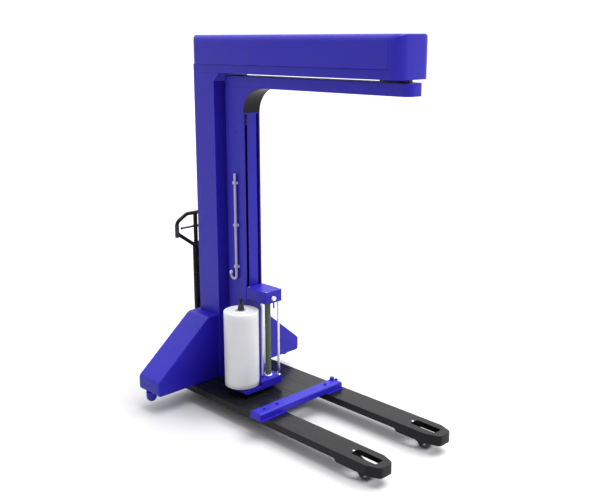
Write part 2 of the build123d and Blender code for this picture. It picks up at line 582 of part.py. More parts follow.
gear_z = housing_top + 2
shaft_top = gear_z + GEAR_H + 78
hub = rod(HUB_R, 0, PIVOT_Y, ARM_TOP, ARM_TOP + HUB_PLATE_T)
hub += rod(SLEW_SHAFT_R, 0, PIVOT_Y, ARM_TOP, shaft_top)
hub -= rod(SLEW_SHAFT_R - 9, 0, PIVOT_Y, ARM_TOP, shaft_top)
save("rotor_hub", hub)
big_gear = Rot(0, 0, 90) * gear(SLEW_TEETH, GEAR_MODULE, GEAR_H, SLEW_SHAFT_R)
save("slewing_gear", Pos(0, PIVOT_Y, gear_z) * big_gear)
ring_z = gear_z + GEAR_H + 12
ring_top = ring_z + SLIP_RING_H
ring_body = rod(SLIP_RING_R, 0, PIVOT_Y, ring_z, ring_top)
save("slip_ring", ring_body - rod(SLEW_SHAFT_R, 0, PIVOT_Y, ring_z, ring_top))
post_y = PIVOT_Y - gear_r - BRUSH_GAP
brush = block(-14, 14, post_y - BRUSH_POST_T, post_y, COVER_BOTTOM, ring_z + 40)
brush += block(-14, 14, post_y, PIVOT_Y - SLIP_RING_R - GAP, ring_z + 6, ring_z + 38)
save("brush_holder", brush)

pinion = gear(PINION_TEETH, GEAR_MODULE, GEAR_H, PINION_SHAFT_R)
pinion = Rot(0, 0, -90 + 180 / PINION_TEETH) * pinion
save("slewing_pinion", Pos(0, PINION_Y, gear_z) * pinion,
     rod(PINION_SHAFT_R, 0, PINION_Y, gear_z - 22, gear_z + GEAR_H))
case_top = gear_z - 4
motor_y = PINION_Y + 46
motor = block(-45, 45, PINION_Y - 42, motor_y, COVER_BOTTOM, case_top)
motor -= rod(PINION_SHAFT_R + RUN, 0, PINION_Y, gear_z - 22, case_top)
motor_z = COVER_BOTTOM + MOTOR_R + 4
drum = rod_y(MOTOR_R, 0, motor_z, motor_y, motor_y + MOTOR_LENGTH)
motor += drum + block(-34, 34, motor_y + 20, motor_y + 150, COVER_BOTTOM, motor_z)
motor += block(-22, 22, motor_y + 60, motor_y + 130, motor_z, motor_z + 66)
save("slewing_gearmotor", motor)

# ---- rotating arm and mast ----
half = ARM_W / 2
arm_end = PIVOT_Y - ARM_NOSE
plan = [(-half, MAST_BACK), (-half, arm_end), (half, arm_end), (half, MAST_BACK)]
arm = prism_z(plan, ARM_BOTTOM, ARM_TOP, [0, ARM_NOSE_R, ARM_NOSE_R, 0])
in_w, in_r = half - ARM_WALL, ARM_NOSE_R - ARM_WALL
plan = [(-in_w, MAST_BACK - ARM_WALL), (-in_w, arm_end + ARM_WALL), (in_w, arm_end + ARM_WALL),
        (in_w, MAST_BACK - ARM_WALL)]
arm -= prism_z(plan, ARM_BOTTOM + ARM_WALL, ARM_TOP - ARM_WALL, [0, in_r, in_r, 0])
arm -= block(-50, 50, MAST_FRONT + 30, MAST_BACK - 20, ARM_BOTTOM, ARM_BOTTOM + ARM_WALL)
arm -= rod(18, 0, PIVOT_Y, ARM_TOP - ARM_WALL, ARM_TOP)
save("rotor_arm", arm)

mast = tube_box(-half, half, MAST_FRONT, MAST_BACK, MAST_BOTTOM, MAST_TOP, MAST_WALL)
slot_out = half - MAST_LIP
PULLEY_LOW, PULLEY_TOP = MAST_BOTTOM + 60, CORNER_Z - 43
mast += rod_x(PULLEY_SHAFT_R, BELT_Y, PULLEY_LOW, -half + MAST_WALL, half - MAST_WALL)
mast -= block(-slot_out, slot_out, MAST_FRONT, MAST_FRONT + MAST_WALL, MAST_BOTTOM, CORNER_Z)
mast += block(-half, half, MAST_FRONT, MAST_BACK, MAST_BOTTOM, MAST_BOTTOM + 5)
save("rotor_mast", mast)
strip = block(-STRIP_HALF, STRIP_HALF, MAST_FRONT, MAST_FRONT + MAST_WALL, MAST_BOTTOM + 5, CORNER_Z)
save("mast_strip", strip)


def corner_form(inset):
    """The corner between arm and mast: a square whose free side is a hollow quarter circle."""
    centre_y, centre_z = MAST_FRONT - CORNER_R, ARM_BOTTOM - CORNER_R
    slab = block(-half + inset, half - inset, centre_y, MAST_FRONT, centre_z, ARM_BOTTOM)
    return slab - rod_x(CORNER_R + inset, centre_y, centre_z, -half, half)


save("corner_gusset", corner_form(0) - corner_form(MAST_WALL))

rail_low, rail_top = MAST_BOTTOM + 5, MAST_TOP
save("guide_rails", *[rod(RAIL_R, x, RAIL_Y, rail_low, rail_top) for x in (-RAIL_X, RAIL_X)])

belt_in = PULLEY_R + 0.3
belt_out = belt_in + BELT_T


def stadium(r, width):
    """The belt's outline seen along X: two half circles joined by straight strands."""
    ends = [rod_x(r, BELT_Y, z, -width / 2, width / 2) for z in (PULLEY_LOW, PULLEY_TOP)]
    return (ends[0] + ends[1]
            + block(-width / 2, width / 2, BELT_Y - r, BELT_Y + r, PULLEY_LOW, PULLEY_TOP))


save("lift_belt", stadium(belt_out, BELT_W) - stadium(belt_in, BELT_W))


def pulley(z, bore_r):
    """A flanged belt pulley with a line of shallow teeth."""
    flange_r, wide = PULLEY_R + 6, BELT_W / 2 + GAP
    body = rod_x(PULLEY_R, BELT_Y, z, -wide, wide)
    for i in range(PULLEY_GROOVES):
        a = 2 * pi * i / PULLEY_GROOVES
        body -= rod_x(1.6, BELT_Y + PULLEY_R * cos(a), z + PULLEY_R * sin(a), -wide, wide)
    for x in (-wide - 2, wide):
        body += rod_x(flange_r, BELT_Y, z, x, x + 2)
    return body - rod_x(bore_r, BELT_Y, z, -wide - 2, wide + 2)


save("top_pulley", pulley(PULLEY_TOP, PULLEY_SHAFT_R), rod_x(PULLEY_SHAFT_R, BELT_Y, PULLEY_TOP, -18, 52))
save("bottom_pulley", pulley(PULLEY_LOW, PULLEY_SHAFT_R + RUN))
case_low, case_high = PULLEY_TOP - 36, PULLEY_TOP + 40
lift = block(20, half - MAST_WALL, BELT_Y - 34, BELT_Y + 34, case_low, case_high)
lift += rod(38, 24, BELT_Y, case_high, MAST_TOP - 12)
lift -= rod_x(PULLEY_SHAFT_R + RUN, BELT_Y, PULLEY_TOP, 20, 52)
save("lift_gearmotor", lift)

# The conduit that carries the carriage's wiring down the mast's side, with its hook end, gland and clips.
conduit_x = -half - CONDUIT_R - 3
with BuildLine(Plane.YZ.offset(conduit_x)) as hook_line:
    Line((CONDUIT_Y, CONDUIT_TOP), (CONDUIT_Y, CONDUIT_LOW))
    ThreePointArc((CONDUIT_Y, CONDUIT_LOW), (CONDUIT_Y + HOOK_R, CONDUIT_LOW - HOOK_R),
                  (CONDUIT_Y + 2 * HOOK_R, CONDUIT_LOW))
conduit = swept_tube(hook_line.wire(), CONDUIT_R)
save("cable_conduit", conduit)
fittings = []
for z in (CONDUIT_TOP - 60, (CONDUIT_TOP + CONDUIT_LOW) / 2, CONDUIT_LOW + 60):
    clip = block(conduit_x - CONDUIT_R - 2, -half, CONDUIT_Y - 18, CONDUIT_Y + 18, z - 8, z + 8)
    for y in (CONDUIT_Y - 18, CONDUIT_Y + CONDUIT_R + 2):
        clip -= block(conduit_x - CONDUIT_R - 2, -half - 3, y, y + 7, z - 8, z + 8)
    fittings.append(clip - rod(CONDUIT_R, conduit_x, CONDUIT_Y, z - 8, z + 8))
gland_y = CONDUIT_Y + 2 * HOOK_R
gland = rod(GLAND_R, conduit_x, gland_y, CONDUIT_LOW, CONDUIT_LOW + 14)
gland += Pos(conduit_x, gland_y, CONDUIT_LOW + 14) * Sphere(GLAND_R)
gland += rod_x(6, gland_y, CONDUIT_LOW + 14, conduit_x, -half)
fittings.append(gland)
save("conduit_clips", *fittings)

# ---- film carriage ----
trolley_y = (RAIL_Y - 22, RAIL_Y + 22)
trolley = block(-half + 12, half - 12, *trolley_y, *TROLLEY)
for x in (-RAIL_X, RAIL_X):
    trolley -= rod(RAIL_R + RUN, x, RAIL_Y, *TROLLEY)
trolley -= block(-26, 26, *trolley_y, TROLLEY[0] + 50, TROLLEY[1] - 50)
strand = (BELT_Y - belt_out - GAP, BELT_Y - belt_in + GAP)
jaw = block(-21, 21, trolley_y[1], strand[1] + 6, TROLLEY[0], TROLLEY[0] + 44)
jaw -= block(-BELT_W / 2 - GAP, BELT_W / 2 + GAP, *strand, TROLLEY[0], TROLLEY[0] + 44)
save("lift_trolley", trolley + jaw)

plate_front = CARRIAGE_BACK - PLATE_T
slot_mid = half - MAST_LIP - MAST_SLOT / 2
frame = block(-half, half, plate_front, CARRIAGE_BACK, BASE_Z + BASE_T, BOX_Z)
for x in (-slot_mid, slot_mid):
    frame += block(x - 5, x + 5, CARRIAGE_BACK, trolley_y[0], *TROLLEY)
save("carriage_frame", frame)

box_top = BOX_Z + BOX_H
box = block(-half, half, CARRIAGE_FRONT, CARRIAGE_BACK, BOX_Z, box_top)
box = fillet(box.edges().filter_by(Axis.Z).filter_by(lambda e: e.center().Y < CARRIAGE_FRONT + 1), 6)
box -= block(-half + SHEET, half - SHEET, CARRIAGE_FRONT + SHEET, CARRIAGE_BACK - SHEET,
             BOX_Z + 8, box_top - SHEET)
for x in (CHROME_X, RUBBER_X):
    box -= rod(JOURNAL_R + RUN, x, ROLLER_Y, BOX_Z, BOX_Z + 8)
box -= rod_y(KNOB_STEM_R + RUN, KNOB_X, KNOB_Z, CARRIAGE_FRONT, CARRIAGE_FRONT + SHEET)
box += rod(5, THREAD_PIN_X, CARRIAGE_FRONT + 12, BOX_Z - THREAD_PIN_DROP, BOX_Z)
save("carriage_box", box)
save("tension_knob", rod_y(KNOB_R, KNOB_X, KNOB_Z, CARRIAGE_FRONT - 22, CARRIAGE_FRONT - GAP)
     + rod_y(KNOB_STEM_R, KNOB_X, KNOB_Z, CARRIAGE_FRONT - GAP, CARRIAGE_FRONT + 14))

base_left = ROLL_X - 62
base = block(base_left, half, CARRIAGE_FRONT, CARRIAGE_BACK, BASE_Z, BASE_Z + BASE_T)
base = fillet(base.edges().filter_by(Axis.Z), 14)
keep_off = rod(ROLL_R + 9, ROLL_X, ROLL_Y, BASE_Z + BASE_T, BLOCK_TOP)
riser = block(-half - 44, half, CARRIAGE_FRONT, ROLLER_Y + 34, BASE_Z + BASE_T, BLOCK_TOP)
riser = fillet(riser.edges().filter_by(Axis.Z).filter_by(lambda e: e.center().Y < CARRIAGE_FRONT + 1), 6)
base += riser - keep_off
for x in (CHROME_X, RUBBER_X):
    base -= rod(JOURNAL_R + RUN, x, ROLLER_Y, BLOCK_TOP - 16, BLOCK_TOP)
save("carriage_base", base)
ROD_X, ROD_Y = half - 18, CARRIAGE_FRONT + 16
save("guide_rod", rod(8, ROD_X, ROD_Y, BLOCK_TOP, BOX_Z))

roller_low, roller_top = BLOCK_TOP + 7, BOX_Z - 7
gear_low = BOX_Z + 12


def roller(x, r, teeth, turn):
    """A roller with its journals and, on the upper journal, its pre-stretch gear."""
    body = rod(r, x, ROLLER_Y, roller_low, roller_top)
    body = chamfer(body.edges().filter_by(GeomType.CIRCLE), 1.5)
    body += rod(JOURNAL_R, x, ROLLER_Y, BLOCK_TOP - 15, gear_low + 14)
    wheel = Pos(x, ROLLER_Y, gear_low) * Rot(0, 0, turn) * gear(teeth, PRESTRETCH_MODULE, 10, JOURNAL_R)
    return body, wheel


rubber_teeth, chrome_teeth = PRESTRETCH_TEETH
save("chrome_roller", *roller(CHROME_X, CHROME_ROLLER_R, chrome_teeth, 180 / chrome_teeth))
save("rubber_roller", *roller(RUBBER_X, RUBBER_ROLLER_R, rubber_teeth, 180))

save("roll_spindle", rod(SPINDLE_R, ROLL_X, ROLL_Y, BASE_Z + BASE_T, ROLL_Z + ROLL_H + SPINDLE_RISE))
bore = rod(SPINDLE_R + RUN, ROLL_X, ROLL_Y, 0, BOOM_BOTTOM)
roll = rod(ROLL_R, ROLL_X, ROLL_Y, ROLL_Z, ROLL_Z + ROLL_H)
roll -= rod(CORE_R + CORE_WALL, ROLL_X, ROLL_Y, ROLL_Z, ROLL_Z + ROLL_H)
save("film_roll", roll)
core = rod(CORE_R + CORE_WALL, ROLL_X, ROLL_Y, ROLL_Z - 1, ROLL_Z + ROLL_H + 2)
save("film_core", core - rod(CORE_R, ROLL_X, ROLL_Y, ROLL_Z - 1, ROLL_Z + ROLL_H + 2))
holder = rod(HOLDER_R, ROLL_X, ROLL_Y, ROLL_Z - 3.5, ROLL_Z - 1)
holder += rod(CORE_R, ROLL_X, ROLL_Y, ROLL_Z - 1, ROLL_Z + 50)
save("roll_holder", holder - bore)
cone_z = ROLL_Z + ROLL_H
cone = rod(CORE_R, ROLL_X, ROLL_Y, cone_z - 36, cone_z + 3)
cone += Pos(ROLL_X, ROLL_Y, cone_z + 3 + CONE_H / 2) * Cone(CONE_R, CONE_TOP_R, CONE_H)
save("roll_cone", cone - bore)

# ---- control box on the column's right side ----
def on_side(solid):
    """Turns a piece built against y = 0, facing +Y, so that it stands on the column's right side."""
    return Pos(COLUMN_W / 2, COLUMN_D / 2, 0) * Rot(0, 0, -90) * solid


box_half, box_top = CONTROL_W / 2, CONTROL_Z + CONTROL_H
control = block(-box_half, box_half, 0, CONTROL_D, CONTROL_Z, box_top)
control -= block(-box_half + CONTROL_WALL, box_half - CONTROL_WALL, CONTROL_WALL, CONTROL_D,
                 CONTROL_Z + CONTROL_WALL, box_top - CONTROL_WALL)
door_back, door_face = CONTROL_D + 1, CONTROL_D + 1 + DOOR_T
hinge_x, hinge_y = -box_half - HINGE_R - 1, CONTROL_D + 2
door = block(-box_half, box_half, door_back, door_face, CONTROL_Z, box_top)
door = fillet(door.edges().filter_by(Axis.Y), 6)
door -= block(-box_half + DOOR_RIM, box_half - DOOR_RIM, door_back, door_face - SHEET,
              CONTROL_Z + DOOR_RIM, box_top - DOOR_RIM)
pins = []
knuckle = 2 * HINGE_HALF / 3
for z in (CONTROL_Z + 50, box_top - 50):
    for z0 in (z - HINGE_HALF, z + knuckle / 2 + GAP):
        z1 = z0 + knuckle - GAP
        control += rod(HINGE_R, hinge_x, hinge_y, z0, z1)
        control += block(hinge_x, -box_half + CONTROL_WALL, hinge_y - HINGE_R, hinge_y - 3, z0, z1)
    z0, z1 = z - knuckle / 2, z + knuckle / 2
    door += rod(HINGE_R, hinge_x, hinge_y, z0, z1)
    door += block(hinge_x, -box_half + 4, hinge_y, hinge_y + 3, z0, z1)
    door -= rod(HINGE_PIN_R + RUN, hinge_x, hinge_y, z0, z1)
    control -= rod(HINGE_PIN_R, hinge_x, hinge_y, z - HINGE_HALF, z + HINGE_HALF)
    pins.append(rod(HINGE_PIN_R, hinge_x, hinge_y, z - HINGE_HALF, z + HINGE_HALF))
save("control_box", *[on_side(solid) for solid in (control, *pins)])

buttons_z = CONTROL_Z + BUTTONS_RISE
for x, r in ((START_X, 7), (STOP_X, 8), (SWITCH_X, 7)):
    door -= rod_y(r + RUN, x, buttons_z, door_face - SHEET, door_face)
save("control_door", on_side(door))
stem_end = door_face - STEM_DEPTH
start = rod_y(7, START_X, buttons_z, stem_end, door_face + 3)
start += rod_y(BUTTON_R, START_X, buttons_z, door_face + 3, door_face + 9)
save("start_button", on_side(start))
stop = rod_y(8, STOP_X, buttons_z, stem_end, door_face + 12)
stop += rod_y(STOP_R, STOP_X, buttons_z, door_face + 12, door_face + 24)
save("emergency_stop", on_side(stop))
switch = rod_y(7, SWITCH_X, buttons_z, stem_end, door_face + GAP)
switch += rod_y(SWITCH_R, SWITCH_X, buttons_z, door_face + GAP, door_face + 8)
switch += block(SWITCH_X - 4, SWITCH_X + 4, door_face + 8, door_face + 22, buttons_z - 14, buttons_z + 14)
save("main_switch", on_side(switch))
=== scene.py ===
import json
import math

import bmesh
import bpy
import numpy as np
from mathutils import Matrix, Vector


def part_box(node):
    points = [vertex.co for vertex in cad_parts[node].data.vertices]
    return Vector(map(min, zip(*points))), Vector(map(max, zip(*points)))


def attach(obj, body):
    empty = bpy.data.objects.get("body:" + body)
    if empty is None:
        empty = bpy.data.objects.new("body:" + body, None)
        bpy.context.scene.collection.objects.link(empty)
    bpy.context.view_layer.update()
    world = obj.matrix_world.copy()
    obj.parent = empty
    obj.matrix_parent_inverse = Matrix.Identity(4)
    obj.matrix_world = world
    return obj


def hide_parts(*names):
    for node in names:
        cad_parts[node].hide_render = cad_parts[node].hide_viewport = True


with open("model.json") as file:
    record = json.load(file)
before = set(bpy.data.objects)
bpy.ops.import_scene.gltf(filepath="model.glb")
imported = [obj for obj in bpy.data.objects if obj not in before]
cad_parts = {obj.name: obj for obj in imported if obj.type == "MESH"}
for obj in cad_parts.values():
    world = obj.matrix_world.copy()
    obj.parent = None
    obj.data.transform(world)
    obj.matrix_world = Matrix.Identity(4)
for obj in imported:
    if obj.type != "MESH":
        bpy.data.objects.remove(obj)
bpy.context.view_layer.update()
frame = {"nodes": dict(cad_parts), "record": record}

bl_info = {
    "name": "Mobile rotary-arm pallet wrapper",
    "version": (1, 0, 0),
    "blender": (4, 5, 0),
    "location": "View3D > Sidebar > Wrapper",
    "description": "Builds the finished surfaces of a rotary-arm pallet wrapper round its packed model",
    "category": "Object",
}

MM = 0.001
SENSOR = 36.0
LENS = 50.81
LENS_SHIFT = (0.0103, -0.0234)
CAMERA_AT = (-3.4823, -3.5942, 2.3533)
CAMERA_TURN = (-44.19, 13.225, -0.206)     # azimuth, pitch and roll in degrees
SUN_FROM = (0.24, -0.26, 0.94)
FLOOR_R = 60.0
FLOOR_Z = -0.5 * MM


def corners(node):
    """Lowest corner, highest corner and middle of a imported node, in metres."""
    low, high = (np.array(c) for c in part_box(node))
    return low, high, (low + high) / 2


def linear(code):
    """An sRGB hex colour as linear red, green, blue and alpha."""
    parts = [int(code[i:i + 2], 16) / 255 for i in (0, 2, 4)]
    return (*[c / 12.92 if c <= 0.04045 else ((c + 0.055) / 1.055) ** 2.4 for c in parts], 1.0)


# ---------------------------------------------------------------- user's values
def length(label, what, default):
    """A length that the user may change, in metres."""
    return bpy.props.FloatProperty(name=label, description=what, default=default, unit="LENGTH", min=0.0)


def colour(label, what, code):
    """A colour that the user may change."""
    return bpy.props.FloatVectorProperty(name=label, description=what, default=linear(code)[:3],
                                         subtype="COLOR", min=0.0, max=1.0)


class WrapperSizes(bpy.types.PropertyGroup):
    """Sizes of the finished surfaces."""
    sheet_round: length("Sheet edge", "Outside radius of a bent or ground sheet edge", 3 * MM)
    plate_round: length("Plate edge", "Radius of a flame-cut plate's ground edge", 1.5 * MM)
    cover_side_round: length("Cover side round", "Radius along the cover's two long top edges", 40 * MM)
    cover_nose_round: length("Cover nose round", "Radius round the top of the cover's nose", 9 * MM)
    conduit_pitch: length("Conduit pitch", "Distance between two ridges of the conduit", 7 * MM)
    film_step: length("Film step", "How unevenly the film's layers end", 0.5 * MM)
    grip_length: length("Grip length", "Length of each rubber grip on the tiller's loop", 88 * MM)


class WrapperColours(bpy.types.PropertyGroup):
    """Colours of the finishes."""
    blue: colour("Blue", "Powder coat on the machine's sheet metal", "1C1295")
    black: colour("Black", "Gloss enamel on the truck", "121214")
    grey: colour("Grey", "Enamel on the motors and the control box", "A9ACAF")
    rubber: colour("Rubber", "Ground rubber on the pre-stretch roller", "4C5844")
    film: colour("Film", "Wound stretch film", "C6C6C8")
    conduit: colour("Conduit", "PVC conduit", "A19DB6")
    floor: colour("Floor", "Studio floor", "B4B4B6")


# ---------------------------------------------------------------- surfaces
def skin(sections, caps=True):
    """Quads between neighbouring sections, each a ring of points; a flat face closes each end."""
    rows, columns = sections.shape[:2]
    row = np.arange(rows - 1)[:, None] * columns
    here = np.arange(columns)[None, :]
    there = (here + 1) % columns
    quads = np.stack([row + here, row + there, row + there + columns, row + here + columns], axis=-1)
    faces = quads.reshape(-1, 4).tolist()
    if caps:
        faces.append(list(range(columns))[::-1])
        faces.append(list(range((rows - 1) * columns, rows * columns)))
    return sections.reshape(-1, 3), faces


def turned(profile, centre, axis="Z", steps=48, wave=None):
    """A profile of (radius, height) turned about an axis: (r cos a, r sin a, h), with r + wave(a).

    A profile that ends where it starts makes a ring; otherwise flat faces close its ends."""
    profile = np.array(profile, dtype=float)
    angle = np.linspace(0, 2 * math.pi, steps, endpoint=False)[None, :]
    radius = profile[:, :1] + (wave(angle) if wave else 0 * angle)
    height = profile[:, 1:] + 0 * angle
    across, up = radius * np.cos(angle), radius * np.sin(angle)
    order = {"X": (height, across, up), "Y": (up, height, across), "Z": (across, up, height)}[axis]
    ring = np.allclose(profile[0], profile[-1])
    return skin(np.stack(order, axis=-1) + np.array(centre), caps=not ring)


def eased(points, radius, steps=6, closed=False):
    """A polyline with each corner replaced by a tangent arc of that radius, or less on a short run."""
    points = [np.array(p, dtype=float) for p in points]
    count = len(points)
    out = []
    for i, corner in enumerate(points):
        if not closed and i in (0, count - 1):
            out.append(corner[None])
            continue
        back, on = points[i - 1] - corner, points[(i + 1) % count] - corner
        size_back, size_on = np.linalg.norm(back), np.linalg.norm(on)
        back, on = back / size_back, on / size_on
        half = math.acos(np.clip(back @ on, -1, 1)) / 2
        if abs(half - math.pi / 2) < 1e-3:
            out.append(corner[None])
            continue
        run = min(radius / math.tan(half), 0.49 * min(size_back, size_on))
        r = run * math.tan(half)
        centre = corner + (back + on) / np.linalg.norm(back + on) * r / math.sin(half)
        start, end = corner + back * run - centre, corner + on * run - centre
        turn = math.pi - 2 * half
        share = np.linspace(0, 1, steps + 1)[:, None]
        spread = np.sin((1 - share) * turn) * start + np.sin(share * turn) * end
        out.append(centre + spread / math.sin(turn))
    return np.concatenate(out)


def rectangle(half_width, half_height):
    """The four corners of a rectangle about the origin."""
    return [(-half_width, -half_height), (half_width, -half_height),
            (half_width, half_height), (-half_width, half_height)]


def swept(path, radius, normal, steps=20, closed=False):
    """A round section carried along a plane path: p + r (cos a (n x t) + sin a n)."""
    path = np.array(path, dtype=float)
    ahead = np.roll(path, -1, axis=0) - path
    behind = path - np.roll(path, 1, axis=0)
    if not closed:
        ahead[-1], behind[0] = behind[-1], ahead[0]
    unit = [v / np.linalg.norm(v, axis=1, keepdims=True) for v in (ahead, behind)]
    tangent = unit[0] + unit[1]
    tangent /= np.linalg.norm(tangent, axis=1, keepdims=True)
    normal = np.array(normal, dtype=float)
    side = np.cross(normal, tangent)[:, None, :]
    angle = np.linspace(0, 2 * math.pi, steps, endpoint=False)[None, :, None]
    radius = np.broadcast_to(np.asarray(radius, dtype=float), (len(path),))[:, None, None]
    rings = path[:, None, :] + radius * (np.cos(angle) * side + np.sin(angle) * normal)
    if closed:
        rings = np.concatenate([rings, rings[:1]])
    return skin(rings, caps=not closed)


def spaced(path, step):
    """Points at equal steps along a polyline."""
    path = np.array(path, dtype=float)
    along = np.concatenate([[0], np.cumsum(np.linalg.norm(np.diff(path, axis=0), axis=1))])
    at = np.linspace(0, along[-1], max(2, int(round(along[-1] / step)) + 1))
    return np.stack([np.interp(at, along, path[:, k]) for k in range(3)], axis=1)


def rod(radius, low, high, centre, axis="Z", edge=1 * MM, steps=40):
    """A round bar from low to high along an axis, with chamfered ends."""
    profile = [(radius - edge, low), (radius, low + edge), (radius, high - edge), (radius - edge, high)]
    return turned(profile, centre, axis, steps)


def tube(inner, outer, low, high, centre, axis="Z", edge=1 * MM, steps=56):
    """A round tube with chamfered rims, whose section closes on itself."""
    profile = [(inner, low), (outer - edge, low), (outer, low + edge), (outer, high - edge),
               (outer - edge, high), (inner + edge, high), (inner, high - edge), (inner, low)]
    return turned(profile, centre, axis, steps)


def hex_bolt(size, height, centre, axis="Z", way=1):
    """A bolt head: a chamfered hexagon on a round washer, standing way along the axis."""
    washer = [(1.5 * size, 0), (1.5 * size, way * 0.25 * size), (1.3 * size, way * 0.3 * size)]
    base = way * 0.3 * size
    head = [(size, base), (size, base + way * height * 0.8), (size * 0.86, base + way * height)]
    return [turned(washer, centre, axis, 28), turned(head, centre, axis, 6)]


def dome_screw(radius, centre, axis="Z", way=1):
    """A domed screw head with a socket: a quarter ellipse, then a flat-bottomed hole."""
    a = np.linspace(0, math.pi / 2, 6)[:-1]
    height = 0.55 * radius
    dome = np.stack([radius * np.cos(a), way * height * np.sin(a)], axis=1)
    socket = [(0.42 * radius, way * height), (0.38 * radius, way * height * 0.35)]
    return turned(np.concatenate([[(radius, -way * 0.2 * radius)], dome, socket]), centre, axis, 20)


# ---------------------------------------------------------------- pieces
def settle(mesh, sharp):
    """Shades a mesh smooth, apart from edges turned by more than the sharp angle."""
    mesh.shade_smooth()
    mesh.set_sharp_from_angle(angle=math.radians(sharp))


def place(name, mesh, body, replaced=()):
    """Puts a mesh into the scene as a piece that rides on a body and may stand for CAD nodes."""
    thing = bpy.data.objects.new(name, mesh)
    bpy.context.scene.collection.objects.link(thing)
    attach(thing, body)
    if replaced:
        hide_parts(*replaced)
    return thing


def piece(name, body, slot, surfaces, replaced=(), sharp=35.0):
    """One piece of several closed surfaces, each (points, faces) or (points, faces, its own slot)."""
    points, faces, marks, slots = [], [], [], [slot]
    start = 0
    for surface in surfaces:
        own = surface[2] if len(surface) > 2 else slot
        if own not in slots:
            slots.append(own)
        points.append(surface[0])
        faces += [[start + i for i in face] for face in surface[1]]
        marks += [slots.index(own)] * len(surface[1])
        start += len(surface[0])
    mesh = bpy.data.meshes.new(name)
    mesh.from_pydata(np.concatenate(points).tolist(), [], faces)
    mesh.polygons.foreach_set("material_index", marks)
    for own in slots:
        mesh.materials.append(finish(own))
    work = bmesh.new()
    work.from_mesh(mesh)
    bmesh.ops.remove_doubles(work, verts=work.verts, dist=1e-6)
    bmesh.ops.recalc_face_normals(work, faces=work.faces)
    work.to_mesh(mesh)
    work.free()
    settle(mesh, sharp)
    return place(name, mesh, body, replaced)


def own_slot(surface, slot):
    """The same surface, or each of several, in another finish than its piece's."""
    if isinstance(surface, list):
        return [own_slot(s, slot) for s in surface]
    return (surface[0], surface[1], slot)


def softened(node, slot, width, segments=3, sharp=32.0, name=None):
    """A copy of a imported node: its triangles welded, its flat faces joined and its edges rounded."""
    mesh = bpy.data.meshes.new(node)
    work = bmesh.new()
    work.from_mesh(frame["nodes"][node].data)
    bmesh.ops.remove_doubles(work, verts=work.verts, dist=1e-5)
    bmesh.ops.dissolve_limit(work, angle_limit=math.radians(0.6), verts=work.verts, edges=work.edges,
                             use_dissolve_boundaries=False)
    work.to_mesh(mesh)
    work.free()
    if "custom_normal" in mesh.attributes:
        mesh.attributes.remove(mesh.attributes["custom_normal"])
    mesh.materials.clear()
    mesh.materials.append(finish(slot))
    mesh.polygons.foreach_set("material_index", [0] * len(mesh.polygons))
    settle(mesh, sharp)
    thing = place(name or f"{node}_finished", mesh, body_of[node], [node])
    bevel = thing.modifiers.new("edge", "BEVEL")
    bevel.width = width
    bevel.segments = segments
    bevel.limit_method = "ANGLE"
    bevel.angle_limit = math.radians(sharp + 6)
    bevel.use_clamp_overlap = True
    bevel.harden_normals = True
    return thing


def repaint(node, slot):
    """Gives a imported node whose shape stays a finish."""
    thing = frame["nodes"][node]
    material = finish(slot)
    if not thing.material_slots:
        thing.data.materials.append(material)
    for holder in thing.material_slots:
        holder.link = "OBJECT"
        holder.material = material


body_of = {node: body for body, nodes in frame["record"]["behaviour"]["bodies"].items() for node in nodes}
slot_of = {part["node"]: part["material_slot"] for part in frame["record"]["subparts"]}


# ---------------------------------------------------------------- finishes
def add(tree, kind, inputs=None, **settings):
    """Adds one shader node with its settings; an input is a value or another node's output."""
    node = tree.nodes.new("ShaderNode" + kind)
    for key, value in settings.items():
        setattr(node, key, value)
    for socket, value in (inputs or {}).items():
        if isinstance(value, bpy.types.NodeSocket):
            tree.links.new(value, node.inputs[socket])
        else:
            node.inputs[socket].default_value = value
    return node


def start(name, **values):
    """A material with one Principled shader, whose constants are set on its own sockets."""
    material = bpy.data.materials.new(name)
    material.use_nodes = True
    tree = material.node_tree
    tree.nodes.clear()
    shader = add(tree, "BsdfPrincipled", {key.replace("_", " "): value for key, value in values.items()})
    add(tree, "OutputMaterial", {"Surface": shader.outputs[0]})
    return material, tree, shader


def pattern(tree, size, stretch=(1, 1, 1), detail=2.0, rough=0.5):
    """Noise on Object coordinates with features of that size in metres, drawn out by stretch."""
    where = add(tree, "TexCoord").outputs["Object"]
    scaled = add(tree, "Mapping", {"Vector": where, "Scale": stretch}).outputs[0]
    return add(tree, "TexNoise", {"Vector": scaled, "Scale": 1 / size, "Detail": detail,
                                  "Roughness": rough}).outputs[0]


def between(tree, share, low, high, start=0.35, end=0.65):
    """A number that goes from low to high as share goes from start to end."""
    return add(tree, "MapRange", {0: share, 1: start, 2: end, 3: low, 4: high}).outputs[0]


def blend(tree, share, first, second):
    """A colour between two others."""
    return add(tree, "Mix", {0: share, 6: first, 7: second}, data_type="RGBA").outputs[2]


def relief(tree, shader, height, depth, strength=1.0):
    """Bump on a shader: height 0 to 1 stands for depth in metres."""
    bump = add(tree, "Bump", {"Height": height, "Distance": depth, "Strength": strength})
    tree.links.new(bump.outputs[0], shader.inputs["Normal"])


def shade(code_or_colour, factor):
    """A colour made darker or lighter."""
    return (*[min(1.0, c * factor) for c in code_or_colour[:3]], 1.0)


def powder_coat():
    """Polyester powder coat on steel: a satin film with a faint orange peel, so its gloss breaks up."""
    base = bpy.context.scene.wrapper_colours.blue
    material, tree, shader = start("powder_coated_steel_blue", IOR=1.5, Specular_IOR_Level=0.28)
    cloud = pattern(tree, 160 * MM)
    tree.links.new(blend(tree, cloud, shade(base, 0.96), shade(base, 1.04)), shader.inputs["Base Color"])
    tree.links.new(between(tree, pattern(tree, 30 * MM), 0.38, 0.46), shader.inputs["Roughness"])
    relief(tree, shader, pattern(tree, 3 * MM, detail=1.0), 0.05 * MM, 0.5)
    return material


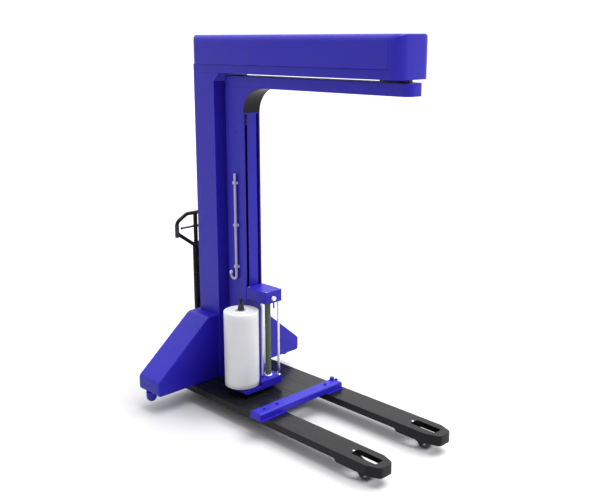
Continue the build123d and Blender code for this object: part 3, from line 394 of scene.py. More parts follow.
def gloss_enamel():
    """Sprayed black enamel on plate: mirror-like with soft waves, dusty and finely scuffed on top."""
    base = bpy.context.scene.wrapper_colours.black
    # this black enamel also serves as painted shade under the corner gusset
    material, tree, shader = start("gloss_enamel_black_and_painted_shade", IOR=1.5, Specular_IOR_Level=0.15)
    dust = pattern(tree, 45 * MM, detail=6.0, rough=0.65)
    scuff = pattern(tree, 14 * MM, stretch=(1, 0.06, 1), detail=4.0)
    tree.links.new(blend(tree, dust, shade(base, 0.6), shade(base, 1.3)), shader.inputs["Base Color"])
    tree.links.new(between(tree, scuff, 0.2, 0.32), shader.inputs["Roughness"])
    relief(tree, shader, pattern(tree, 9 * MM), 0.06 * MM, 0.5)
    return material


def grey_enamel():
    """Light grey stoving enamel: even, half gloss, with a fine hammer texture."""
    base = bpy.context.scene.wrapper_colours.grey
    material, tree, shader = start("stoved_enamel_grey", IOR=1.5)
    cloud = pattern(tree, 90 * MM)
    tree.links.new(blend(tree, cloud, shade(base, 0.92), shade(base, 1.05)), shader.inputs["Base Color"])
    tree.links.new(between(tree, cloud, 0.38, 0.5), shader.inputs["Roughness"])
    relief(tree, shader, pattern(tree, 4 * MM, detail=1.0), 0.08 * MM, 0.6)
    return material


def metal(name, code, rough_low, rough_high, grain, stretch, depth):
    """Bare or plated metal: the grain left by its tool runs one way and spreads the highlight."""
    material, tree, shader = start(name, Metallic=1.0)
    lines = pattern(tree, grain, stretch, detail=3.0, rough=0.6)
    base = linear(code)
    tree.links.new(blend(tree, lines, shade(base, 0.86), shade(base, 1.08)), shader.inputs["Base Color"])
    tree.links.new(between(tree, lines, rough_low, rough_high), shader.inputs["Roughness"])
    relief(tree, shader, lines, depth, 0.5)
    return material


def chrome_plate():
    """Hard chrome on a ground rod: near mirror, with faint grinding rings round it."""
    return metal("hard_chromed_steel", "DDDDE2", 0.08, 0.16, 10 * MM, (1, 1, 6), 0.01 * MM)


def turned_steel():
    """Turned and ground steel: grey with fine tool marks, so its highlight is broad."""
    return metal("turned_steel", "B9BABD", 0.26, 0.4, 4 * MM, (1, 1, 8), 0.02 * MM)


def slip_ring_copper():
    """Turned copper alloy: warm metal with bright running tracks."""
    return metal("turned_copper_ring", "C98A55", 0.2, 0.34, 4 * MM, (1, 1, 10), 0.02 * MM)


def plastic(name, code, roughness, grain, depth, ior=1.49, variation=0.06):
    """Moulded or turned plastic: an even colour, a soft gloss and a fine eroded skin."""
    material, tree, shader = start(name, IOR=ior)
    base = linear(code) if isinstance(code, str) else code
    cloud = pattern(tree, 25 * MM)
    tree.links.new(blend(tree, cloud, shade(base, 1 - variation), shade(base, 1 + variation)),
                   shader.inputs["Base Color"])
    tree.links.new(between(tree, cloud, roughness - 0.05, roughness + 0.07), shader.inputs["Roughness"])
    relief(tree, shader, pattern(tree, grain, detail=1.0), depth, 0.6)
    return material


def ground_rubber():
    """Ground polyurethane-rubber cover: matt, with fine grinding rings that catch some light."""
    base = bpy.context.scene.wrapper_colours.rubber
    material, tree, shader = start("ground_rubber_cover", IOR=1.52)
    rings = pattern(tree, 5 * MM, (0.2, 0.2, 2.5), detail=3.0)
    tree.links.new(blend(tree, rings, shade(base, 0.8), shade(base, 1.15)), shader.inputs["Base Color"])
    tree.links.new(between(tree, rings, 0.5, 0.68), shader.inputs["Roughness"])
    relief(tree, shader, rings, 0.2 * MM, 0.6)
    return material


def wound_film():
    """Stretch film, many layers of clear polyethylene: milky white, glossy, with faint bands of tension."""
    base = bpy.context.scene.wrapper_colours.film
    material, tree, shader = start("wound_stretch_film", IOR=1.5, Coat_Weight=0.3, Coat_Roughness=0.15,
                                   Subsurface_Weight=0.12, Subsurface_Scale=0.02)
    bands = pattern(tree, 50 * MM, (0.08, 0.08, 1.6), detail=3.0)
    fine = pattern(tree, 8 * MM, (0.1, 0.1, 1.2), detail=2.0)
    tree.links.new(blend(tree, bands, shade(base, 0.975), shade(base, 1.02)), shader.inputs["Base Color"])
    tree.links.new(between(tree, fine, 0.3, 0.36), shader.inputs["Roughness"])
    relief(tree, shader, bands, 0.03 * MM, 0.3)
    return material


def wound_board():
    """Spirally wound grey-brown board: matt paper fibre with the lines of its winding."""
    material, tree, shader = start("wound_paper_board", IOR=1.45)
    fibre = pattern(tree, 3 * MM, (1, 1, 0.3), detail=5.0, rough=0.7)
    tree.links.new(blend(tree, fibre, linear("C9C3B8"), linear("DAD6CE")), shader.inputs["Base Color"])
    tree.links.new(between(tree, fibre, 0.75, 0.9), shader.inputs["Roughness"])
    relief(tree, shader, fibre, 0.15 * MM, 0.6)
    return material


def tread_polyurethane():
    """Cast polyurethane tyre: dark, slightly waxy, with dust worked into it."""
    return plastic("cast_polyurethane_tyre", "2B2B2E", 0.48, 6 * MM, 0.15 * MM, variation=0.25)


def conduit_plastic():
    """Corrugated PVC conduit: smooth grey plastic, its ridges are in the mesh."""
    base = (*bpy.context.scene.wrapper_colours.conduit, 1.0)
    return plastic("corrugated_pvc_grey", base, 0.38, 5 * MM, 0.02 * MM)


FINISHES = {
    "blue_paint": powder_coat,
    "black_paint": gloss_enamel,
    "grey_paint": grey_enamel,
    "bright_steel": turned_steel,
    "chrome": chrome_plate,
    "grey_rubber": ground_rubber,
    "film": wound_film,
    "board": wound_board,
    "wheel_nylon": tread_polyurethane,
    "grey_plastic": conduit_plastic,
    "copper_ring": slip_ring_copper,
    # Neoprene timing belt: matt black with a ground back.
    "belt_rubber": lambda: plastic("moulded_neoprene_belt", "191A1B", 0.62, 3 * MM, 0.1 * MM),
    # Turned acetal: bright white, waxy, its edges catch the light.
    "white_plastic": lambda: plastic("turned_acetal_white", "F1F1EF", 0.3, 4 * MM, 0.02 * MM),
    # Moulded ABS: black with a spark-eroded grain.
    "black_plastic": lambda: plastic("moulded_abs_black", "19191B", 0.42, 2.5 * MM, 0.06 * MM),
    # Moulded polycarbonate: saturated red, glossy.
    "red_plastic": lambda: plastic("moulded_polycarbonate_red", "C3191C", 0.2, 6 * MM, 0.01 * MM),
    # Moulded polycarbonate: saturated green, glossy.
    "green_plastic": lambda: plastic("moulded_polycarbonate_green", "1E9A3C", 0.2, 6 * MM, 0.01 * MM),
}
made_finishes = {}


def finish(slot):
    """The finish of a record slot, made once."""
    if slot not in made_finishes:
        made_finishes[slot] = FINISHES[slot]()
    return made_finishes[slot]


# ---------------------------------------------------------------- truck
def wheel(centre, radius, width, tyre, hub_slot="bright_steel"):
    """A wheel on the X axis: a tyre with rounded shoulders and a hub with a recessed web."""
    half, shoulder = width / 2, min(6 * MM, width / 8)
    rim = radius - tyre
    tread = eased([(rim, -half + 1 * MM), (radius, -half), (radius, half), (rim, half - 1 * MM)], shoulder)
    tread = np.concatenate([tread, tread[:1]])
    disc = [(0.3 * rim, -half + 2 * MM), (rim * 0.42, -half + 2 * MM), (rim * 0.5, -half + 7 * MM),
            (rim * 0.86, -half + 7 * MM), (rim * 0.93, -half + 1.5 * MM), (rim, -half + 1.5 * MM),
            (rim, half - 1.5 * MM), (rim * 0.93, half - 1.5 * MM), (rim * 0.86, half - 7 * MM),
            (rim * 0.5, half - 7 * MM), (rim * 0.42, half - 2 * MM), (0.3 * rim, half - 2 * MM),
            (0.3 * rim, -half + 2 * MM)]
    return [turned(tread, centre, "X", 64), own_slot(turned(disc, centre, "X", 48), hub_slot)]


class OBJECT_OT_wrapper_truck(bpy.types.Operator):
    """Forks, platform, crossbar, rollers, steering wheels, pump and tiller"""
    bl_idname = "object.wrapper_truck"
    bl_label = "Truck"

    def execute(self, context):
        sizes = context.scene.wrapper_sizes
        for node in ("fork_left", "fork_right", "platform_plate", "bulkhead"):
            softened(node, "black_paint", sizes.plate_round)
        for node in ("load_arm_left", "load_arm_right"):
            repaint(node, "black_paint")
        softened("crossbar", "blue_paint", 1.5 * MM, 2)
        self.bolts()
        for side in ("left", "right"):
            low, high, middle = corners(f"load_roller_{side}")
            surfaces = wheel(middle, middle[2], high[0] - low[0], 14 * MM)
            piece(f"load_roller_tyre_{side}", f"load_roller_{side}", "wheel_nylon", surfaces,
                  [f"load_roller_{side}"])
            low, high, middle = corners(f"steer_wheel_{side}")
            surfaces = wheel(middle, middle[2], high[0] - low[0], 22 * MM)
            piece(f"steer_wheel_tyre_{side}", f"steer_wheel_{side}", "wheel_nylon", surfaces,
                  [f"steer_wheel_{side}"])
        softened("pump_body", "black_paint", 1 * MM, 2)
        for node in ("ram_rod", "pump_pins", "push_rods"):
            repaint(node, slot_of[node])
        self.tiller(sizes)
        return {"FINISHED"}

    def bolts(self):
        """Hexagon bolts in the crossbar, and a button screw behind each roller window."""
        bar = corners("crossbar")[2]
        high = corners("crossbar_bolts")[1]
        head_low = high[2] - 7 * MM
        heads = []
        fork = corners("fork_left")[2][0]
        for side in (-1, 1):
            for offset in (-52 * MM, 52 * MM):
                at = (side * abs(fork) + offset, bar[1], head_low)
                heads += hex_bolt(8.5 * MM, 6 * MM, at)
        piece("crossbar_screws", "chassis", "blue_paint", heads, ["crossbar_bolts"], sharp=25)
        top = corners("fork_left")[1][2]
        behind = corners("load_roller_left")[2][1] + 98 * MM
        screws = [dome_screw(9 * MM, (side * abs(fork), behind, top)) for side in (-1, 1)]
        piece("fork_screws", "chassis", "bright_steel", screws, sharp=40)

    def tiller(self, sizes):
        """The tiller's loop is a round bar on a rounded outline; the post is a tube with a forked foot."""
        low, high, middle = corners("tiller")
        y = middle[1]
        bar = 13 * MM
        half, top = 157 * MM, high[2] - bar
        foot = top - 236 * MM
        shoulder, cheek = top - 48 * MM, foot + 112 * MM
        outline = [(half, shoulder), (half * 0.46, top), (-half * 0.46, top), (-half, shoulder),
                   (-half, cheek), (0, foot), (half, cheek)]
        loop = eased(outline, 42 * MM, 8, closed=True)
        loop = np.stack([loop[:, 0], np.full(len(loop), y), loop[:, 1]], axis=1)
        surfaces = [swept(loop, bar, (0, 1, 0), closed=True)]
        tube_r = 24 * MM
        eye_r = 19.5 * MM
        eye = low[2] + eye_r
        surfaces.append(turned([(tube_r - 2 * MM, eye + 82 * MM), (tube_r, eye + 84 * MM),
                                (tube_r, foot - 4 * MM), (tube_r - 5 * MM, foot + 6 * MM)], (0, y, 0)))
        surfaces.append(rod(0.6 * tube_r, foot, top, (0, y, 0)))
        bore, end, lip = 8 * MM, 22 * MM, 20 * MM
        surfaces.append(turned([(bore, -end), (18 * MM, -end), (eye_r, -lip), (eye_r, lip),
                                (18 * MM, end), (bore, end), (bore, -end)], (0, y, eye), "X"))
        stem = eased(rectangle(18 * MM, 17 * MM), 5 * MM, 4, closed=True)
        levels = (eye + 6 * MM, eye + 84 * MM)
        surfaces.append(skin(np.stack([np.stack([stem[:, 0], stem[:, 1] + y, np.full(len(stem), z)], axis=1)
                                       for z in levels])))
        for side in (-1, 1):
            grip_top = top - 64 * MM
            line = spaced([(side * half, y, grip_top),
                           (side * half, y, grip_top - sizes.grip_length)], 2 * MM)
            ridge = bar + 1.6 * MM + 0.7 * MM * np.cos(np.arange(len(line)) * math.pi / 2)
            ridge[[0, -1]] = bar
            surfaces.append(own_slot(swept(line, ridge, (0, 1, 0)), "black_plastic"))
        piece("tiller_handle", "tiller", "black_paint", surfaces, ["tiller"], sharp=40)
        self.lever(y)

    def lever(self, y):
        """The release lever: a turned bar with a ball at each end, two ears and a plate on the pivot."""
        high, middle = corners("release_lever")[1:]
        reach = high[0]
        bar, ball_r = 7 * MM, 9 * MM
        half_bar = [(5 * MM, 9 * MM), (bar, 12 * MM), (bar, reach - 22 * MM), (5.5 * MM, reach - 18 * MM)]
        a = np.linspace(-1.1, math.pi / 2 - 0.2, 9)
        ball = np.stack([ball_r * np.cos(a), reach - ball_r + ball_r * np.sin(a)], axis=1)
        arm = np.concatenate([half_bar, ball])
        z = middle[2]
        surfaces = [turned(arm, (0, y, z), "X", 28), turned(arm * (1, -1), (0, y, z), "X", 28)]
        surfaces += [tube(8 * MM, 15 * MM, x, x + 5 * MM, (0, y, z), "X") for x in (-12 * MM, 7 * MM)]
        plate = eased(rectangle(12 * MM, 6 * MM), 2 * MM, 3, True)
        rows = [np.stack([plate[:, 0], np.full(len(plate), y + d), plate[:, 1] + z], axis=1)
                for d in (10 * MM, 14 * MM)]
        surfaces.append(skin(np.stack(rows)))
        piece("release_lever_bar", "release_lever", "black_plastic", surfaces, ["release_lever"])


# ---------------------------------------------------------------- cabinet, column, boom
class OBJECT_OT_wrapper_tower(bpy.types.Operator):
    """Cabinet with its feet, column, boom and the cover on it"""
    bl_idname = "object.wrapper_tower"
    bl_label = "Tower"

    def execute(self, context):
        sizes = context.scene.wrapper_sizes
        for node in ("base_cabinet", "column", "boom_frame"):
            softened(node, "blue_paint", sizes.sheet_round)
        self.feet()
        self.cover(sizes)
        return {"FINISHED"}

    def feet(self):
        """A pressed dome under each outrigger, held by a stud and a nut."""
        low, high, middle = corners("stabiliser_feet")
        radius, stud_r, nut_r = 34 * MM, 6 * MM, 10 * MM
        rim, plate = 126.5 * MM, 130 * MM
        surfaces = []
        for x in (low[0] + radius, high[0] - radius):
            a = np.linspace(-math.pi / 2 + 0.12, 0, 12)
            dome = np.stack([radius * np.cos(a), low[2] + radius + radius * np.sin(a)], axis=1)
            top = [(radius, rim), (radius - 2 * MM, rim + 0.3 * MM)]
            surfaces.append(turned(np.concatenate([dome, top]), (x, middle[1], 0)))
            nut = [(nut_r, plate), (nut_r, plate + 8 * MM), (nut_r - 1.5 * MM, plate + 10 * MM)]
            surfaces.append(own_slot(turned(nut, (x, middle[1], 0), "Z", 6), "bright_steel"))
            stud = rod(stud_r, rim + 0.5 * MM, high[2], (x, middle[1], 0))
            surfaces.append(own_slot(stud, "bright_steel"))
        piece("stabiliser_domes", "chassis", "blue_paint", surfaces, ["stabiliser_feet"], sharp=40)

    def cover(self, sizes):
        """Outline points pushed in and up: p - n r (1 - cos a), z = top - r (1 - sin a), r by direction.

        The radius r goes from the side round to the nose round with the square of the outline's normal,
        so that one fillet turns into the other round the nose's corners."""
        low, high, _ = corners("boom_cover")
        nose_corner = 70 * MM
        joint = low[1] + nose_corner + 4 * MM
        left, right, front, back = low[0], high[0], low[1], high[1]
        corner = np.linspace(0, math.pi / 2, 15)
        side_y = np.array([joint - 3 * MM, joint - 1.2 * MM, joint - 0.8 * MM, joint + 0.8 * MM,
                           joint + 1.2 * MM, joint + 3 * MM])
        sink = np.array([0, 0, 1.2, 1.2, 0, 0]) * MM
        r_back = 40 * MM
        run = np.linspace(joint + 60 * MM, back - r_back - 2 * MM, 12)
        side = np.concatenate([side_y, run])
        sunk = np.concatenate([sink, 0 * run])
        tight = np.linspace(0, math.pi / 2, 10)
        half = [
            (np.stack([right - nose_corner + nose_corner * np.sin(corner),
                       front + nose_corner - nose_corner * np.cos(corner)], axis=1),
             np.stack([np.sin(corner), -np.cos(corner)], axis=1)),
            (np.stack([right - sunk, side], axis=1), np.stack([0 * side + 1, 0 * side], axis=1)),
            (np.stack([right - r_back + r_back * np.cos(tight),
                       back - r_back + r_back * np.sin(tight)], axis=1),
             np.stack([np.cos(tight), np.sin(tight)], axis=1)),
        ]
        points = np.concatenate([h[0] for h in half])
        normals = np.concatenate([h[1] for h in half])
        points = np.concatenate([points, (points * (-1, 1))[::-1]])
        normals = np.concatenate([normals, (normals * (-1, 1))[::-1]])
        r = (sizes.cover_side_round * normals[:, :1] ** 2
             + sizes.cover_nose_round * normals[:, 1:] ** 2)
        base, top = corners("boom_frame")[1][2], high[2]
        flange = 26 * MM
        rows = [np.concatenate([points - normals * flange, 0 * r + base], axis=1),
                np.concatenate([points - normals * 1.5 * MM, 0 * r + base], axis=1),
                np.concatenate([points, 0 * r + base + 1.5 * MM], axis=1)]
        for a in np.linspace(0, math.pi / 2, 10):
            rows.append(np.concatenate([points - normals * r * (1 - math.cos(a)),
                                        top - r * (1 - math.sin(a))], axis=1))
        points_3d, faces = skin(np.stack(rows), caps=True)
        faces.pop(-2)
        thing = piece("boom_cover_shell", "chassis", "blue_paint", [(points_3d, faces)], ["boom_cover"],
                      sharp=30)
        arc, across = half[0]
        way = np.concatenate([across[::-1], across * (-1, 1)])
        outer = np.concatenate([arc[::-1], arc * (-1, 1)]) - 0.05 * MM * way
        section = np.concatenate([outer, (outer - 3 * MM * way)[::-1]])
        levels = [np.concatenate([section, 0 * section[:, :1] + z], axis=1)
                  for z in (low[2], base + 4 * MM)]
        piece("boom_nose_skirt", "chassis", "blue_paint", [skin(np.stack(levels))], sharp=30)
        wall = thing.modifiers.new("wall", "SOLIDIFY")
        wall.thickness = 2.5 * MM
        wall.offset = -1
        screw_r, screw_z = 4.5 * MM, base + 36 * MM
        screws = []
        for y in front + np.array([145, 640, 1120, 1600]) * MM:
            for x, side in ((left, -1), (right, 1)):
                screws.append(dome_screw(screw_r, (x, y, screw_z), "X", side))
        piece("cover_screws", "chassis", "black_plastic", screws, sharp=40)


# ---------------------------------------------------------------- slewing drive and rotor
class OBJECT_OT_wrapper_rotor(bpy.types.Operator):
    """Slewing drive, turning arm, mast with its lift, and the conduit on its side"""
    bl_idname = "object.wrapper_rotor"
    bl_label = "Rotor"

    def execute(self, context):
        sizes = context.scene.wrapper_sizes
        for node in ("hub_housing", "rotor_hub", "slewing_gear", "slewing_bearings", "slewing_pinion",
                     "slip_ring", "brush_holder", "slewing_gearmotor", "guide_rails", "lift_belt",
                     "top_pulley", "bottom_pulley", "lift_gearmotor", "conduit_clips"):
            repaint(node, slot_of[node])
        for node, width in (("rotor_arm", sizes.sheet_round), ("rotor_mast", 2 * MM),
                            ("corner_gusset", 2 * MM), ("mast_strip", 1.2 * MM)):
            thing = softened(node, "blue_paint", width)
            if node == "corner_gusset":
                # painted shade under the corner gusset
                self.painted_shade_web(thing.data)
        self.conduit(sizes)
        self.screws()
        return {"FINISHED"}

    def painted_shade_web(self, mesh):
        """Painted shade: every face of the gusset that looks down, mostly its curved web, takes the black
        enamel in place of the shade that falls under it.
        """
        mesh.materials.append(finish("black_paint"))
        normals = np.empty(3 * len(mesh.polygons))
        mesh.polygons.foreach_get("normal", normals)
        # painted shade: faces whose normal points down get the black finish
        under = (normals.reshape(-1, 3)[:, 2] < -0.02).astype(int)
        mesh.polygons.foreach_set("material_index", under)

    def conduit(self, sizes):
        """A corrugated tube: radius r - d + d cos(2 pi s / pitch) along a run and a hook, d the depth."""
        low, high, middle = corners("cable_conduit")
        r = (high[0] - low[0]) / 2
        x, y = middle[0], low[1] + r
        hook = (high[1] - low[1] - 2 * r) / 2
        bend = low[2] + r + hook
        a = np.linspace(math.pi, 2 * math.pi, 24)
        arc = np.stack([0 * a + x, y + hook + hook * np.cos(a), bend + hook * np.sin(a)], axis=1)
        path = spaced(np.concatenate([[(x, y, high[2] - 4 * MM)], arc]), sizes.conduit_pitch / 6)
        s = np.arange(len(path)) * sizes.conduit_pitch / 6
        depth = 0.9 * MM
        radius = r - depth + depth * np.cos(2 * math.pi * s / sizes.conduit_pitch)
        surfaces = [swept(path, radius, (1, 0, 0), steps=24)]
        top = high[2]
        surfaces.append(turned([(r * 0.8, top - 6 * MM), (r, top - 5 * MM), (r, top - 3 * MM),
                                (r * 0.8, top - 0.8 * MM), (r * 0.4, top)], (x, y, 0), "Z", 24))
        piece("conduit_ridges", "rotor", "grey_plastic", surfaces, ["cable_conduit"], sharp=60)
        ball = np.linspace(-math.pi / 2 + 0.05, math.pi / 2 - 0.05, 14)
        end = high[1] - r
        gland_r, gland_z = 11.5 * MM, bend + 14 * MM
        gland = np.stack([gland_r * np.cos(ball), gland_z + gland_r * np.sin(ball)], axis=1)
        piece("conduit_gland_cap", "rotor", "white_plastic", [turned(gland, (x, end, 0), "Z", 32)])

    def screws(self):
        """Two screws high on the mast's left side."""
        low, _, middle = corners("rotor_mast")
        places = [(low[0], middle[1], z) for z in (1.815, 1.78)]
        screws = [dome_screw(6 * MM, at, "X", -1) for at in places]
        piece("mast_screws", "rotor", "blue_paint", screws, sharp=40)


# ---------------------------------------------------------------- film carriage
class OBJECT_OT_wrapper_carriage(bpy.types.Operator):
    """Film carriage: frame, rollers, film roll on its core, holder, cone, rod and knob"""
    bl_idname = "object.wrapper_carriage"
    bl_label = "Film carriage"

    def execute(self, context):
        sizes = context.scene.wrapper_sizes
        for node in ("lift_trolley", "chrome_roller", "rubber_roller", "roll_spindle"):
            repaint(node, slot_of[node])
        for node in ("carriage_frame", "carriage_box", "carriage_base"):
            softened(node, "blue_paint", 1.5 * MM)
        self.roll(sizes)
        self.fittings()
        return {"FINISHED"}

    def roll(self, sizes):
        """A wound roll: r = R - step (a / 2 pi) leaves the last layer's edge; the ends are stepped rings."""
        low, high, middle = corners("film_roll")
        outer = (high[0] - low[0]) / 2
        core_low, core_high, _ = corners("film_core")
        inner = (core_high[0] - core_low[0]) / 2
        rings = np.linspace(inner, outer - 2 * MM, 26)
        layer = 0.5 * MM
        rng = np.random.default_rng(7)
        uneven = sizes.film_step * rng.random(len(rings))
        bottom = np.stack([rings, low[2] + uneven], axis=1)
        top = np.stack([rings[::-1], high[2] - uneven[::-1]], axis=1)
        wall = np.stack([outer - layer * rng.random(16),
                         np.linspace(low[2] + 2 * MM, high[2] - 2 * MM, 16)], axis=1)
        profile = np.concatenate([bottom, wall, top, bottom[:1]])
        at = (middle[0], middle[1], 0)
        edge = lambda a: -layer * ((a + 4.0) % (2 * math.pi)) / (2 * math.pi)
        surface = turned(profile, at, "Z", 128, edge)
        piece("film_roll_wound", "film_roll", "film", [surface], ["film_roll"], sharp=50)
        bore = inner - 8 * MM
        board = tube(bore, inner - 0.2 * MM, core_low[2], core_high[2], at, edge=1.2 * MM, steps=64)
        piece("film_core_board", "film_roll", "board", [board], ["film_core"])
        low, high, _ = corners("roll_cone")
        rim = high[2] - 45 * MM
        hole, plug_r = 13 * MM, bore - 0.5 * MM
        plug = eased([(hole, low[2]), (34 * MM, low[2]), (plug_r, low[2] + 6 * MM),
                      (plug_r, rim), (hole, rim), (hole, low[2])], 1.5 * MM, 3)
        plug = np.concatenate([plug[:-1], plug[:1]])
        cone = eased([(hole, rim - 1 * MM), (22 * MM, rim - 1 * MM), (22 * MM, rim + 6 * MM),
                      (14 * MM, high[2]), (hole, high[2])], 1 * MM, 3)
        cone = np.concatenate([cone, cone[:1]])
        plug = own_slot(turned(plug, at, "Z", 56), "grey_plastic")
        piece("roll_cone_turned", "film_roll", "black_plastic", [plug, turned(cone, at, "Z", 48)],
              ["roll_cone"])
        low, high, _ = corners("roll_holder")
        z, neck = low[2], 37.5 * MM
        profile = [(hole, z), (58.5 * MM, z), (60 * MM, z + 1 * MM), (59 * MM, z + 2.5 * MM),
                   (neck, z + 2.5 * MM), (neck, high[2] - 5 * MM), (33 * MM, high[2]),
                   (hole, high[2]), (hole, z)]
        piece("roll_holder_disc", "film_roll", "black_plastic", [turned(profile, at, "Z", 56)],
              ["roll_holder"])

    def fittings(self):
        """Rod with collars, fluted knob, the white disc under the rubber roller and the box's screws."""
        low, high, middle = corners("guide_rod")
        at = (middle[0], middle[1], 0)
        surfaces = [rod(8 * MM, low[2], high[2], at)]
        surfaces += [tube(8 * MM, 12 * MM, z, z + 8 * MM, at) for z in (low[2], high[2] - 8 * MM)]
        piece("guide_rod_chromed", "carriage", "chrome", surfaces, ["guide_rod"])
        low, high, middle = corners("tension_knob")
        front = low[1]
        flutes = lambda a: 0.7 * MM * np.cos(14 * a)
        grip_r = 13.3 * MM
        head = [(11 * MM, front), (13 * MM, front + 2 * MM), (grip_r, front + 4 * MM),
                (grip_r, front + 17 * MM), (12 * MM, front + 20 * MM), (9 * MM, front + 21.5 * MM)]
        stem = rod(5 * MM, front + 20 * MM, high[1], (middle[0], 0, middle[2]), "Y")
        piece("tension_knob_fluted", "tension_knob", "white_plastic",
              [turned(head, (middle[0], 0, middle[2]), "Y", 112, flutes), own_slot(stem, "bright_steel")],
              ["tension_knob"])
        low, high, middle = corners("rubber_roller")
        base = corners("carriage_base")[1][2]
        disc = tube(9 * MM, 27 * MM, base + 0.4 * MM, base + 6 * MM, (middle[0], middle[1], 0))
        piece("film_guide_disc", "rubber_roller", "white_plastic", [disc])
        low, high, middle = corners("carriage_box")
        screws = [dome_screw(4.5 * MM, (x, y, high[2]), "Z") for x in (low[0] + 12 * MM, high[0] - 12 * MM)
                  for y in (low[1] + 12 * MM, high[1] - 14 * MM)]
        piece("carriage_screws", "carriage", "bright_steel", screws, sharp=40)


# ---------------------------------------------------------------- control box
class OBJECT_OT_wrapper_controls(bpy.types.Operator):
    """Control box, its door, the buttons and the main switch"""
    bl_idname = "object.wrapper_controls"
    bl_label = "Controls"

    def execute(self, context):
        softened("control_box", "grey_paint", 1.5 * MM, 2)
        softened("control_door", "grey_paint", 1.5 * MM, 2)
        door_low, door_high, _ = corners("control_door")
        face = door_high[0]
        for node, slot, neck, rise in (("start_button", "green_plastic", 5.4 * MM, 3.3 * MM),
                                       ("emergency_stop", "red_plastic", 8 * MM, 12 * MM)):
            low, high, middle = corners(node)
            at = (0, middle[1], middle[2])
            out, r, root = high[0], (high[1] - low[1]) / 2, face + rise
            profile = eased([(neck, low[0]), (neck, root), (r, root), (r, out - 2 * MM), (r * 0.3, out)],
                            1.6 * MM, 4)
            piece(f"{node}_cap", node, slot, [turned(profile, at, "X", 40)], [node])
            inner = neck + 1 * MM if rise > 5 * MM else r + 0.8 * MM
            ring = tube(inner, max(inner, r) + 2 * MM, face, face + 2 * MM, at, "X")
            piece(f"{node}_bezel", "control_door", "black_plastic", [ring])
        softened("main_switch", "black_plastic", 0.8 * MM, 2)
        lock = [(12 * MM, face), (12 * MM, face + 3 * MM), (10 * MM, face + 5 * MM), (5 * MM, face + 5 * MM),
                (4 * MM, face + 2 * MM)]
        at = (0, door_low[1] + 22 * MM, door_high[2] - 120 * MM)
        piece("door_lock", "control_door", "bright_steel", [turned(lock, at, "X", 36)])
        return {"FINISHED"}


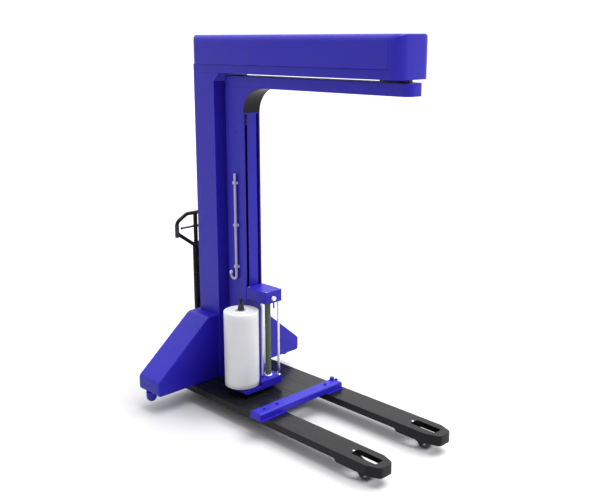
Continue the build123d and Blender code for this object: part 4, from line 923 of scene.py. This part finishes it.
# ---------------------------------------------------------------- stage
class OBJECT_OT_wrapper_stage(bpy.types.Operator):
    """Pale floor, soft studio light and the camera"""
    bl_idname = "object.wrapper_stage"
    bl_label = "Stage"

    def execute(self, context):
        scene = context.scene
        scene.view_settings.view_transform = "Standard"
        self.floor(scene)
        self.lights(scene)
        self.camera(scene)
        return {"FINISHED"}

    def floor(self, scene):
        """A large disc under the wheels."""
        a = np.linspace(0, 2 * math.pi, 96, endpoint=False)
        ring = np.stack([FLOOR_R * np.cos(a), FLOOR_R * np.sin(a), 0 * a + FLOOR_Z], axis=1)
        mesh = bpy.data.meshes.new("floor")
        mesh.from_pydata(ring.tolist(), [], [list(range(len(a)))])
        material, tree, shader = start("painted_screed_white", Roughness=0.55)
        base = (*scene.wrapper_colours.floor, 1.0)
        cloud = pattern(tree, 1.2, detail=3.0)
        tree.links.new(blend(tree, cloud, shade(base, 0.985), shade(base, 1.0)), shader.inputs["Base Color"])
        mesh.materials.append(material)
        floor = bpy.data.objects.new("floor", mesh)
        scene.collection.objects.link(floor)

    def lights(self, scene):
        """White surroundings, and a broad sun from high above the front right."""
        world = bpy.data.worlds.new("studio")
        scene.world = world
        world.use_nodes = True
        world.node_tree.nodes.clear()
        tree = world.node_tree
        way = add(tree, "TexCoord").outputs["Generated"]
        behind = add(tree, "VectorMath", {0: way, 1: (0.71, 0.71, 0.0)}, operation="DOT_PRODUCT")
        height = add(tree, "SeparateXYZ", {0: way}).outputs["Z"]
        above = between(tree, height, 0.0, 0.9, 0.0, 1.0)
        around = between(tree, behind.outputs["Value"], 0.4, 1.06, -0.7, 0.45)
        strength = add(tree, "Math", {0: above, 1: around}, operation="ADD").outputs[0]
        back = add(tree, "Background", {"Color": (1, 1, 1, 1), "Strength": strength})
        add(tree, "OutputWorld", {"Surface": back.outputs[0]})
        data = bpy.data.lights.new("sun", "SUN")
        data.energy = 4.8
        data.angle = math.radians(48)
        lamp = bpy.data.objects.new("sun", data)
        scene.collection.objects.link(lamp)
        aim = -Vector(SUN_FROM).normalized()
        lamp.matrix_world = aim.to_track_quat("-Z", "Y").to_matrix().to_4x4()

    def camera(self, scene):
        """Stands to the left of the fork tips at boom height and looks down at the column."""
        azimuth, pitch, roll = (math.radians(a) for a in CAMERA_TURN)
        ahead = Vector((-math.sin(azimuth) * math.cos(pitch), math.cos(azimuth) * math.cos(pitch),
                        -math.sin(pitch)))
        level = Vector((math.cos(azimuth), math.sin(azimuth), 0))
        upright = level.cross(ahead)
        right = math.cos(roll) * level + math.sin(roll) * upright
        up = math.cos(roll) * upright - math.sin(roll) * level
        data = bpy.data.cameras.new("camera")
        data.sensor_width = SENSOR
        data.lens = LENS
        data.shift_x, data.shift_y = LENS_SHIFT
        camera = bpy.data.objects.new("camera", data)
        scene.collection.objects.link(camera)
        turn = Matrix((right, up, -ahead)).transposed().to_4x4()
        camera.matrix_world = Matrix.Translation(CAMERA_AT) @ turn
        scene.camera = camera


class VIEW3D_PT_wrapper(bpy.types.Panel):
    """Lists the builder's steps and values in the sidebar"""
    bl_label = "Pallet wrapper"
    bl_idname = "VIEW3D_PT_wrapper"
    bl_space_type = "VIEW_3D"
    bl_region_type = "UI"
    bl_category = "Wrapper"

    def draw(self, context):
        for step in STEPS:
            self.layout.operator(step.bl_idname)
        for group in (context.scene.wrapper_sizes, context.scene.wrapper_colours):
            box = self.layout.box()
            for key in type(group).__annotations__:
                box.prop(group, key)


STEPS = (OBJECT_OT_wrapper_truck, OBJECT_OT_wrapper_tower, OBJECT_OT_wrapper_rotor,
         OBJECT_OT_wrapper_carriage, OBJECT_OT_wrapper_controls, OBJECT_OT_wrapper_stage)
CLASSES = (WrapperSizes, WrapperColours, *STEPS, VIEW3D_PT_wrapper)


def register():
    """Makes the classes known and hangs the values on the scene."""
    for one in CLASSES:
        bpy.utils.register_class(one)
    bpy.types.Scene.wrapper_sizes = bpy.props.PointerProperty(type=WrapperSizes)
    bpy.types.Scene.wrapper_colours = bpy.props.PointerProperty(type=WrapperColours)


def unregister():
    """Takes the values and the classes away again."""
    del bpy.types.Scene.wrapper_colours
    del bpy.types.Scene.wrapper_sizes
    for one in reversed(CLASSES):
        bpy.utils.unregister_class(one)


def main():
    """Registers the add-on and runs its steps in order."""
    register()
    for step in STEPS:
        group, name = step.bl_idname.split(".")
        getattr(getattr(bpy.ops, group), name)()


if __name__ == "__main__":
    main()
